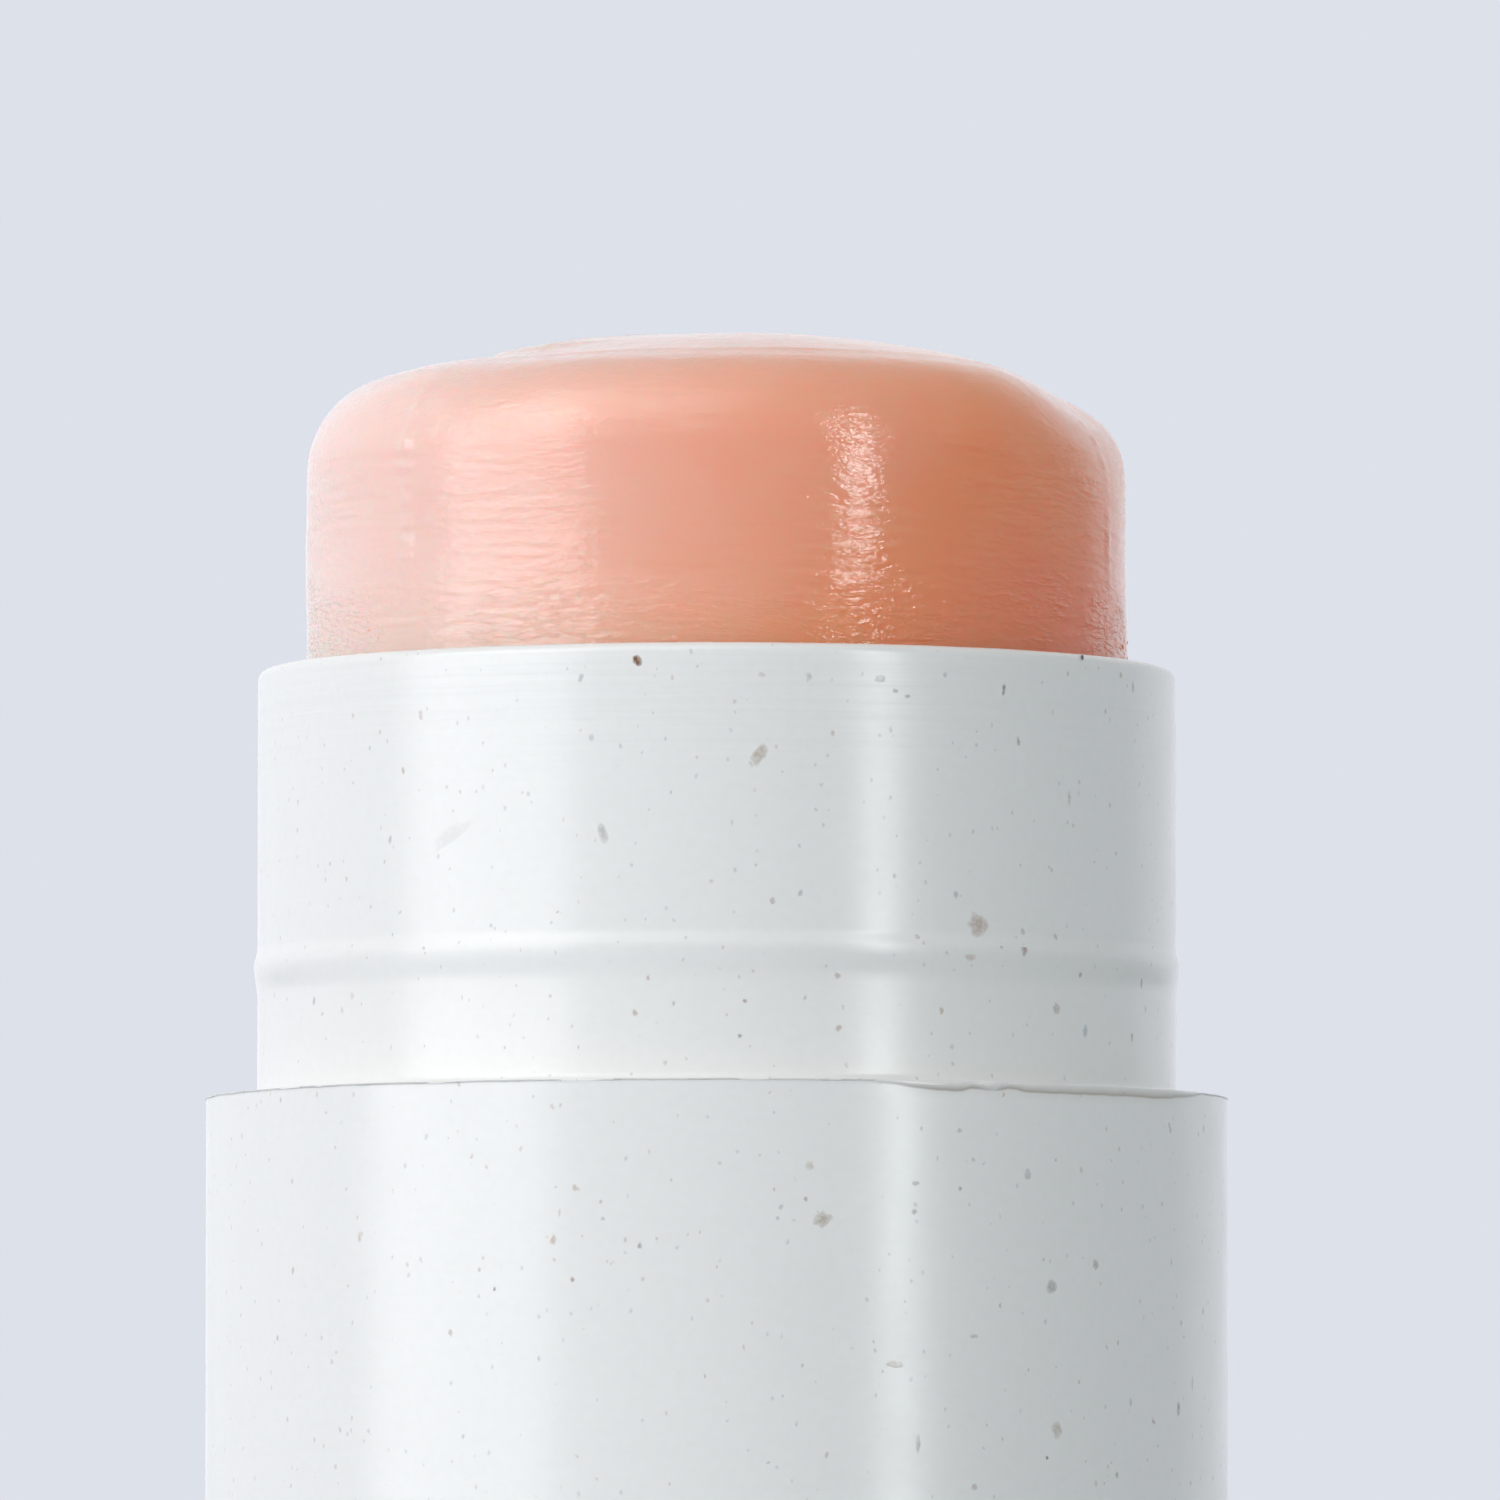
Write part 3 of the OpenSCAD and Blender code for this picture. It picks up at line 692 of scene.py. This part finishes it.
class BALM_OT_flecks(bpy.types.Operator):
    """Set the larger flecks of fibre into the barrel's skin"""

    bl_idname = "balm_stick.flecks"
    bl_label = "Shell flecks"

    def made_up(self, kinds):
        """Flecks at random places on the back and low on the front."""
        draw = random.Random(11)
        flecks = []
        for n in range(MORE_FLECKS):
            behind = n % 4 != 0
            phi = draw.uniform(75.0, 285.0) if behind else draw.uniform(-75.0, 75.0)
            on_neck = behind and draw.random() < 0.2
            body_top = LEDGE_Z - (0.5 if behind else MEASURED_BODY)
            low, high = (LEDGE_Z + 0.4, RIM_Z - 0.4) if on_neck else (BARREL_Z + 1.0, body_top)
            z = draw.uniform(low, high)
            if on_neck and abs(z - LEDGE_Z - 2.05) < 0.6:
                z += 1.3
            size = draw.choice((0.08, 0.10, 0.13, 0.20, 0.28)) * draw.uniform(0.8, 1.2)
            flecks.append(((phi, z, size, size * draw.uniform(0.7, 1.8), draw.uniform(-40, 40),
                            draw.choice(kinds[:5]), draw.uniform(0.3, 0.7)), NECK_R if on_neck else BARREL_R))
        return flecks

    def execute(self, context):
        kinds = list(FLECK_COLOURS)
        flecks = [(f, NECK_R) for f in NECK_FLECKS] + [(f, BARREL_R) for f in BODY_FLECKS]
        flecks += self.made_up(kinds)
        points, faces, slots, shares = [], [], [], []
        edge = 12
        for (phi, z, wide, tall, tilt, kind, cover), r in flecks:
            t = math.radians(tilt)
            base = len(points)
            bead = look_bead(z) if r == NECK_R else 0.0
            points.append(at(phi, r + bead + 0.004, z))
            shares.append(cover)
            for ring, share in ((0.45, 0.9), (0.75, 0.6), (1.0, 0.0)):
                for k in range(edge):
                    a = 2 * math.pi * k / edge
                    jag = 1.0 + 0.5 * grain(3 * math.cos(a), 3 * math.sin(a), base * 0.77)
                    u, v = 0.5 * wide * jag * ring * math.cos(a), 0.5 * tall * jag * ring * math.sin(a)
                    x, y = u * math.cos(t) - v * math.sin(t), u * math.sin(t) + v * math.cos(t)
                    bead = look_bead(z + y) if r == NECK_R else 0.0
                    out = 0.003 if share else -0.001
                    points.append(at(phi + math.degrees(x / r), r + bead + out, z + y))
                    shares.append(cover * share)
            for k in range(edge):
                n = (k + 1) % edge
                faces.append([base, base + 1 + k, base + 1 + n])
                for ring in (0, edge):
                    a = base + 1 + ring
                    faces.append([a + k, a + edge + k, a + edge + n, a + n])
                slots.extend([kinds.index(kind)] * 3)
        piece = new_object("shell_flecks", points, faces,
                           [fleck_material("fleck_" + k, c) for k, c in FLECK_COLOURS.items()], shares)
        piece.data.polygons.foreach_set("material_index", slots)
        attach(piece, "barrel")
        return {"FINISHED"}


# Flats that wear left on the crown: direction (right, back, up), then distance from the middle of the rim
# and softness in mm
WEAR_FLATS = (((0.4006, -0.0706, 0.9135), 6.174, 0.10), ((0.791, -0.212, 0.574), 7.15, 0.14))

# Creases pressed into the side: depth and half width in mm, then (degrees from the front, mm above the rim)
CREASES = (
    (0.0060, 0.030, ((-36.4, 3.75), (-31.0, 3.79), (-26.0, 3.79))),
    (0.0072, 0.035, ((-42.7, 2.93), (-35.0, 2.87), (-28.1, 2.82))),
    (0.0084, 0.034, ((-43.7, 2.42), (-34.0, 2.35), (-23.9, 2.33))),
    (0.0084, 0.034, ((-43.0, 2.32), (-34.0, 2.27), (-24.5, 2.24))),
    (0.0066, 0.032, ((-42.7, 2.01), (-36.0, 1.95), (-29.5, 1.92))),
    (0.0060, 0.030, ((-40.0, 1.60), (-33.0, 1.55), (-27.0, 1.58))),
    (0.0126, 0.045, ((-44.4, 1.08), (-37.0, 1.00), (-28.1, 0.94))),
    (0.0126, 0.045, ((-53.1, 0.60), (-41.0, 0.60), (-33.3, 0.68), (-26.7, 0.61), (-22.5, 0.84))),
    (0.0096, 0.040, ((-41.0, 0.35), (-35.0, 0.40), (-30.3, 0.38))),
    (0.0072, 0.030, ((-50.0, 0.86), (-42.0, 0.80), (-36.0, 0.86))),
    (0.0096, 0.040, ((14.7, 2.16), (20.0, 2.10), (26.0, 2.16), (31.0, 2.05))),
    (0.0114, 0.045, ((13.5, 1.84), (20.0, 1.88), (29.0, 1.86))),
    (0.0120, 0.045, ((12.0, 1.56), (17.0, 1.62), (23.0, 1.60), (27.0, 1.68))),
    (0.0114, 0.045, ((10.0, 1.20), (16.0, 1.14), (22.0, 1.18), (30.0, 1.10))),
    (0.0072, 0.030, ((12.0, 0.86), (20.0, 0.84), (26.0, 0.90))),
    (0.0072, 0.030, ((14.0, 0.55), (21.0, 0.52), (29.0, 0.56))),
)
# How far each end of a crease fades, in degrees
CREASE_FADE = 3.0
# Torn folds near the rim: height in mm, then the steps in degrees of the left and the right patch
FOLD_DEEP = 0.009
FOLDS_LEFT = (-62.0, -50.0, -22.0, -12.0)
FOLDS_RIGHT = (6.0, 14.0, 34.0, 44.0)
# Beads of wax along the ribs' lines: degrees from the front, height in mm
RIB_BEADS = ((-48.4, 0.055), (71.5, 0.03), (191.5, 0.05))


def crease_depth(phi, h):
    """Depth of the pressed creases at one place on the side, in mm, with a low bank on their lower side."""
    depth = 0.0
    for deep, half, path in CREASES:
        start, end = path[0][0], path[-1][0]
        if not start - CREASE_FADE < phi < end + CREASE_FADE:
            continue
        middle = path[0][1] if phi < start else path[-1][1]
        for (a, ha), (b, hb) in zip(path, path[1:]):
            if a <= phi <= b:
                middle = ha + (hb - ha) * smooth(a, b, phi)
        middle += 0.035 * grain(phi / 2.1, deep * 900.0, middle)
        fade = plateau((start - CREASE_FADE, start + CREASE_FADE, end - CREASE_FADE, end + CREASE_FADE), phi)
        uneven = 0.7 + 0.5 * grain(phi / 3.3, deep * 500.0, 4.0)
        bank = 0.45 * ridge(h, middle - 2.0 * half, 1.3 * half)
        depth += deep * fade * uneven * (ridge(h, middle, half) - bank)
    return depth


def flats_cut(place, facing):
    """How far wear has cut the crown down at one place, in mm. facing is the skin's own direction there."""
    cut = 0.0
    for flat, reach, soft in WEAR_FLATS:
        beyond = (sum(n * p for n, p in zip(flat, place)) - reach) / soft
        if beyond > -6.0:
            slant = max(0.35, sum(n * f for n, f in zip(flat, facing)))
            cut += soft * math.log1p(math.exp(min(beyond, 60.0))) / slant
    return cut


def side_streaks(turn, run, h, up, swipe):
    """The level crinkles, pressed creases and torn folds on the stick's side, in mm."""
    level = (h + 0.12 * grain(run / 3.1, 1.7, 0.0)) / 0.15
    crinkle = grain(run / 1.5, level, 2.0) + 0.55 * grain(run / 0.7, level * 2.3, 6.0)
    where = 0.35 + 0.65 * smooth(-0.25, 0.35, grain(run / 2.0, h / 0.8, 9.0))
    high = swipe * crinkle * where * (1.0 - up) * smooth(0.1, 0.5, h)
    high -= crease_depth(turn, h) * (1.0 - up)
    fold = grain(run / 0.42, (h - 0.05 * grain(run / 1.2, 8.0, 1.0)) / 0.055, 12.0)
    left = plateau(FOLDS_LEFT, turn) * ridge(h, 0.78, 0.42)
    right = plateau(FOLDS_RIGHT, turn) * ridge(h, 0.85, 0.6)
    return high + FOLD_DEEP * fold * (left + 0.8 * right)


def rib_beads(phi, h, up):
    """Beads of wax that the barrel's ribs left standing along their lines, in mm."""
    high = 0.0
    for line_at, tall in RIB_BEADS:
        off = math.radians(angle_from(phi, line_at)) * BALM_R + 0.06 * grain(h / 0.8, line_at, 0.0)
        if abs(off) < 0.5:
            beads = max(0.0, 0.5 + 0.9 * grain(h / 0.16, line_at, 3.0))
            high += tall * ridge(off, 0.0, 0.075) * beads * smooth(1.1, 1.5, h) * (1.0 - 0.6 * up)
    return high


def relief(phi, r, z, slope, look):
    """Height of the wax's skin over the plain form, in mm. slope is (out, up), the skin's own direction."""
    out, up = slope
    trough, swipe = look.trough / MM, look.swipe / MM
    turn = phi if phi <= 180.0 else phi - 360.0
    a = math.radians(turn)
    x, y, h = r * math.sin(a), -r * math.cos(a), z - RIM_Z
    high = 0.045 * grain(x / 2.3, y / 2.3, h / 1.7, 4.0) * smooth(0.0, 1.2, h)
    high -= flats_cut((x, y, h), (out * math.sin(a), -out * math.cos(a), up))
    if up > 0.2:
        left = 1.0 - smooth(40.0, 72.0, abs(angle_from(phi, -92.0)))
        high -= trough * left * (smooth(3.42, 3.72, r) - smooth(4.2, 5.15, r))
        edge = 4.92 + 0.16 * grain(x / 1.6, 3.0, 0.0)
        high += 0.016 * ridge(r, edge, 0.14) * (1.0 - smooth(60.0, 95.0, abs(turn)))
    if up < 0.9:
        high += side_streaks(turn, a * BALM_R, h, up, swipe)
    if up > 0.1:
        stroke = grain(x / 2.2, y / 0.28, 3.0) + 0.5 * grain(x / 1.1, y / 0.12, 7.0)
        high += swipe * 0.45 * stroke * up
    return high + rib_beads(phi, h, up)


class BALM_OT_stick(bpy.types.Operator):
    """Make the worn stick of wax with its crown, flats, creases, streaks, rib marks and hidden foot"""

    bl_idname = "balm_stick.stick"
    bl_label = "Stick of balm"

    def execute(self, context):
        look = settings().wax
        crown_r, shoulder_r = look.crown_radius / MM, look.shoulder_radius / MM
        crown_z = RIM_Z + look.crown_out / MM - CROWN_BELOW
        shoulder_x = BALM_R - shoulder_r
        crown_mid = crown_z - crown_r
        shoulder_z = crown_mid + math.sqrt((crown_r - shoulder_r) ** 2 - shoulder_x ** 2)
        meet = math.degrees(math.atan2(shoulder_z - crown_mid, shoulder_x))
        hidden = [(0.0, SCREW_HOLE_TOP_Z), (SCREW_HOLE_R, SCREW_HOLE_TOP_Z), (SCREW_HOLE_R, BOSS_TOP_Z),
                  (BOSS_R, BOSS_TOP_Z), (BOSS_R, CUP_Z), (CUP_IN_R, CUP_Z), (CUP_IN_R, CUP_STEP_Z)]
        side = [(BALM_R, CUP_STEP_Z + 0.01)] + line((BALM_R, CUP_STEP_Z + 1.0), (BALM_R, GROOVE_TOP_Z), 12)
        side += [(BALM_R, GROOVE_TOP_Z)] + line((BALM_R, GROOVE_TOP_Z + 0.03), (BALM_R, shoulder_z), 100)
        shoulder = arc(shoulder_x, shoulder_z, shoulder_r, 0, meet, 54)
        crown = arc(0.0, crown_mid, crown_r, meet, 90, 80)[1:-1] + [(0.0, crown_z)]
        profile = hidden + side + shoulder + crown
        groove_end = len(hidden) + 14
        slopes = []
        for i, (r, z) in enumerate(profile):
            before, after = profile[max(0, i - 1)], profile[min(len(profile) - 1, i + 1)]
            dr, dz = after[0] - before[0], after[1] - before[1]
            size = math.hypot(dr, dz)
            slopes.append((dz / size, -dr / size))

        def form(i, phi, r, z):
            if i < len(hidden):
                return r, z, 0.0
            if i < groove_end:
                if any(abs(angle_from(phi, a)) <= RIB_HALF_ANGLE for a in RIB_ANGLES):
                    r = GROOVE_FACE_R
                return r, z, 0.0
            out, up = slopes[i]
            up = max(0.0, up)
            share = smooth(groove_end, groove_end + 6, i)
            high = relief(phi, r, z, (out, up), look) * share
            return max(0.0, r + out * high), z + up * high, share

        wax = coral_wax("coral_wax")
        piece = revolve("balm_skin", profile, form, [wax], False)
        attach(piece, "carriage")
        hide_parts("balm")
        return {"FINISHED"}


def face_outwards(points, faces, first):
    """Turns the faces of one closed lump, those from the index first, so that they face out of it."""
    volume = 0.0
    for face in faces[first:]:
        a = Vector(points[face[0]])
        for k, m in zip(face[1:], face[2:]):
            volume += a.dot(Vector(points[k]).cross(Vector(points[m])))
    if volume < 0.0:
        faces[first:] = [face[::-1] for face in faces[first:]]


def wedge(points, faces, start, end, steps, shape):
    """A strip of wax round the stick's foot. shape(phi) gives its inner radius, outer radius and height."""
    base = len(points)
    across = 6
    for i in range(steps + 1):
        phi = start + (end - start) * i / steps
        fade = math.sin(math.pi * i / steps) ** 0.6 if 0 < i < steps else 0.0
        inner, outer, tall = shape(phi)
        low = RIM_Z - 0.03
        points.append(at(phi, inner, low - 0.25))
        for k in range(across):
            t = k / (across - 1)
            r = inner + (outer - inner) * t * (0.25 + 0.75 * fade)
            points.append(at(phi, r, low + tall * fade * (1.0 - t) ** 1.6))
        points.append(at(phi, inner + (outer - inner) * (0.25 + 0.75 * fade), low - 0.02))
    wide = across + 2
    for i in range(steps):
        for k in range(wide):
            n = (k + 1) % wide
            a, b = base + i * wide, base + (i + 1) * wide
            faces.append([a + k, b + k, b + n, a + n])
    faces.append([base + k for k in range(wide)])
    faces.append([base + steps * wide + k for k in reversed(range(wide))])


class BALM_OT_smears(bpy.types.Operator):
    """Smear a little wax on the rim and leave a few crumbs at the foot of the stick"""

    bl_idname = "balm_stick.smears"
    bl_label = "Smears and crumbs"

    # Smears: from and to in degrees, outer radius, height and unevenness in mm
    SMEARS = ((-106.0, -72.0, 6.74, 0.17, 0.05), (37.0, 52.0, 6.60, 0.07, 0.03),
              (74.0, 100.0, 6.66, 0.12, 0.05), (150.0, 196.0, 6.70, 0.12, 0.06))
    # Crumbs: middle and reach in degrees, lowest and greatest height above the rim in mm, how many
    CRUMBS = ((89.0, 9.0, 0.08, 0.62, 5), (-55.0, 4.0, 0.30, 0.44, 3), (72.0, 8.0, 0.02, 0.10, 4),
              (180.0, 60.0, 0.05, 0.3, 14))
    CRUMB_SIZES = (0.018, 0.036)

    def execute(self, context):
        wax = smeared_wax("smeared_wax")
        points, faces = [], []
        for start, end, reach, tall, uneven in self.SMEARS:
            first = len(faces)
            wedge(points, faces, start, end, 60, lambda phi: (
                BALM_R - 0.05, reach + 0.5 * uneven * grain(phi / 5.0, start, 0.0),
                tall + uneven * grain(phi / 3.0, end, 0.0)))
            face_outwards(points, faces, first)
        smear = new_object("rim_smear", points, faces, [wax])
        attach(smear, "barrel")

        draw = random.Random(5)
        points, faces = [], []
        rings, edge = 8, 12
        for middle, spread, low, high, count in self.CRUMBS:
            for n in range(count):
                phi, up = middle + draw.uniform(-spread, spread), draw.uniform(low, high)
                size = draw.uniform(*self.CRUMB_SIZES)
                base, first = len(points), len(faces)
                for i in range(rings + 1):
                    polar = math.pi * i / rings
                    for k in range(edge):
                        a = 2 * math.pi * k / edge
                        x, y = math.sin(polar) * math.cos(a), math.sin(polar) * math.sin(a)
                        z = math.cos(polar)
                        lump = size * (1.0 + 0.5 * grain(x * 1.6, y * 1.6, z * 1.6 + n * 3.3))
                        points.append(at(phi + math.degrees(1.2 * x * lump / BALM_R),
                                         BALM_R + 0.6 * y * lump, RIM_Z + up + z * lump))
                for i in range(rings):
                    for k in range(edge):
                        d = (k + 1) % edge
                        a, b = base + i * edge, base + (i + 1) * edge
                        faces.append([a + k, b + k, b + d, a + d])
                face_outwards(points, faces, first)
        crumbs = new_object("wax_crumbs", points, faces, [wax])
        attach(crumbs, "carriage")
        return {"FINISHED"}


class BALM_OT_small_parts(bpy.types.Operator):
    """Finish the dial, the screw and the carriage"""

    bl_idname = "balm_stick.small_parts"
    bl_label = "Dial, screw and carriage"

    def execute(self, context):
        finishes = {
            "dial": speckled_plastic("dial_plastic", 0.05),
            "lead_screw": plain_plastic("screw_plastic", (0.84, 0.84, 0.80), 0.34),
            "carriage": plain_plastic("carriage_plastic", (0.86, 0.86, 0.83), 0.38),
        }
        for name, material in finishes.items():
            part = NODES[name]
            if not part.material_slots:
                part.data.materials.append(material)
            for slot in part.material_slots:
                slot.material = material
        return {"FINISHED"}


class BALM_OT_stage(bpy.types.Operator):
    """Set the floor, the backdrop, the lamps and the camera"""

    bl_idname = "balm_stick.stage"
    bl_label = "Stage"

    COOL = (0.985, 0.985, 1.0)
    # Lamps: kind, azimuth and elevation in degrees, width and height in metres, colour
    LAMPS = (
        ("key", -69.5, 15.0, 0.24, 0.58, COOL),
        ("side", -46.0, 17.0, 0.17, 0.58, COOL),
        ("fill", -38.0, 52.0, 0.50, 0.36, COOL),
        ("strip", 41.0, 13.0, 0.07, 0.36, (0.96, 1.0, 1.0)),
        ("wall", -125.0, 14.0, 0.66, 0.66, COOL),
        ("back", 165.0, 12.0, 0.70, 0.60, COOL),
    )
    LAMP_DISTANCE = 0.5
    LAMPS_FACE_Z = 0.05
    AMBIENT_TINT = (0.93, 1.0, 0.96)
    # The floor's two cloudy tones, and what the camera sees of it
    FLOOR_TONES = ((0.70, 0.73, 0.79), (0.72, 0.75, 0.81))
    FLOOR_SHOWN = ((1.40, 1.46, 1.58), (1.44, 1.50, 1.62))
    FLOOR_HALF = 1.5
    FLOOR_CELLS = 12

    def lamp(self, name, azimuth, elevation, wide, tall, power, colour):
        """A soft box that faces the stick. Azimuth 0 is the camera's side and positive is to the right."""
        data = bpy.data.lights.new(name, "AREA")
        data.shape = "RECTANGLE"
        data.size, data.size_y = wide, tall
        data.energy = power
        data.color = colour
        a, e = math.radians(azimuth), math.radians(elevation)
        middle = Vector((0.0, 0.0, self.LAMPS_FACE_Z))
        back = Vector((math.sin(a) * math.cos(e), -math.cos(a) * math.cos(e), math.sin(e)))
        lamp = bpy.data.objects.new(name, data)
        lamp.location = middle + back * self.LAMP_DISTANCE
        lamp.rotation_mode = "QUATERNION"
        lamp.rotation_quaternion = back.to_track_quat("Z", "Y")
        lamp.visible_camera = False
        bpy.context.scene.collection.objects.link(lamp)

    def execute(self, context):
        look = settings().stage
        scene = bpy.context.scene
        scene.view_settings.view_transform = "Standard"

        camera = bpy.data.cameras.new("camera")
        camera.lens = look.lens
        camera.sensor_width = 36.0
        camera.clip_start, camera.clip_end = 0.01, 20.0
        eye = bpy.data.objects.new("camera", camera)
        eye.location = look.camera_from
        eye.rotation_mode = "QUATERNION"
        eye.rotation_quaternion = (Vector(look.camera_to) - Vector(look.camera_from)).to_track_quat("-Z", "Y")
        scene.collection.objects.link(eye)
        scene.camera = eye

        for kind, azimuth, elevation, wide, tall, colour in self.LAMPS:
            self.lamp(kind + "_box", azimuth, elevation, wide, tall, getattr(look, kind + "_power"), colour)

        world = bpy.data.worlds.new("backdrop")
        scene.world = world
        world.use_nodes = True
        tree = world.node_tree
        tree.nodes.clear()

        def either(a, b):
            node = tree.nodes.new("ShaderNodeMath")
            node.operation = "MAXIMUM"
            tree.links.new(a, node.inputs[0])
            tree.links.new(b, node.inputs[1])
            return node.outputs[0]

        out = tree.nodes.new("ShaderNodeOutputWorld")
        shown = tree.nodes.new("ShaderNodeBackground")
        shown.inputs["Color"].default_value = rgba(look.backdrop_colour)
        ambient = tree.nodes.new("ShaderNodeBackground")
        ambient.inputs["Color"].default_value = rgba(self.AMBIENT_TINT)
        ambient.inputs["Strength"].default_value = look.ambient
        rays = tree.nodes.new("ShaderNodeLightPath").outputs
        mix = tree.nodes.new("ShaderNodeMixShader")
        seen = either(rays["Is Camera Ray"], either(rays["Is Glossy Ray"], rays["Is Transmission Ray"]))
        tree.links.new(seen, mix.inputs["Fac"])
        tree.links.new(ambient.outputs[0], mix.inputs[1])
        tree.links.new(shown.outputs[0], mix.inputs[2])
        tree.links.new(mix.outputs[0], out.inputs["Surface"])

        s = Shader("pale_floor")
        rays = s.add("ShaderNodeLightPath")
        cloud = s.noise(9.0, 2.0)
        plain = s.mix(cloud, *map(rgba, self.FLOOR_TONES))
        shown = s.mix(cloud, *map(rgba, self.FLOOR_SHOWN))
        s.surface(Base_Color=s.mix(rays.outputs["Is Camera Ray"], plain, shown), Roughness=0.9,
                  Specular_IOR_Level=0.1)
        half, cells = self.FLOOR_HALF, self.FLOOR_CELLS
        row = cells + 1
        points = [(-half + 2 * half * i / cells, -half + 2 * half * j / cells, 0.0)
                  for i in range(row) for j in range(row)]
        faces = [[i * row + j, (i + 1) * row + j, (i + 1) * row + j + 1, i * row + j + 1]
                 for i in range(cells) for j in range(cells)]
        floor = new_object("floor", points, faces, [s.material])
        return {"FINISHED"}


class BALM_PT_panel(bpy.types.Panel):
    """Lists the pieces and their settings"""

    bl_idname = "BALM_PT_panel"
    bl_label = "Lip balm stick"
    bl_space_type = "VIEW_3D"
    bl_region_type = "UI"
    bl_category = "Lip balm"

    def draw(self, context):
        layout = self.layout
        for group in ("shell", "wax", "stage"):
            box = layout.box()
            values = getattr(context.scene.balm_stick, group)
            for key in values.__annotations__:
                box.prop(values, key)
        for operator in OPERATORS:
            layout.operator(operator.bl_idname)


OPERATORS = (BALM_OT_stage, BALM_OT_barrel, BALM_OT_flecks, BALM_OT_stick, BALM_OT_smears,
             BALM_OT_small_parts)
CLASSES = (ShellSettings, WaxSettings, StageSettings, StickSettings, *OPERATORS, BALM_PT_panel)


def register():
    for cls in CLASSES:
        bpy.utils.register_class(cls)
    bpy.types.Scene.balm_stick = bpy.props.PointerProperty(
        type=StickSettings, name="Lip balm stick", description="Settings of the lip balm stick")


def unregister():
    del bpy.types.Scene.balm_stick
    for cls in reversed(CLASSES):
        bpy.utils.unregister_class(cls)


def main():
    register()
    bpy.ops.balm_stick.stage()
    bpy.ops.balm_stick.barrel()
    bpy.ops.balm_stick.flecks()
    bpy.ops.balm_stick.stick()
    bpy.ops.balm_stick.smears()
    bpy.ops.balm_stick.small_parts()


if __name__ == "__main__":
    main()
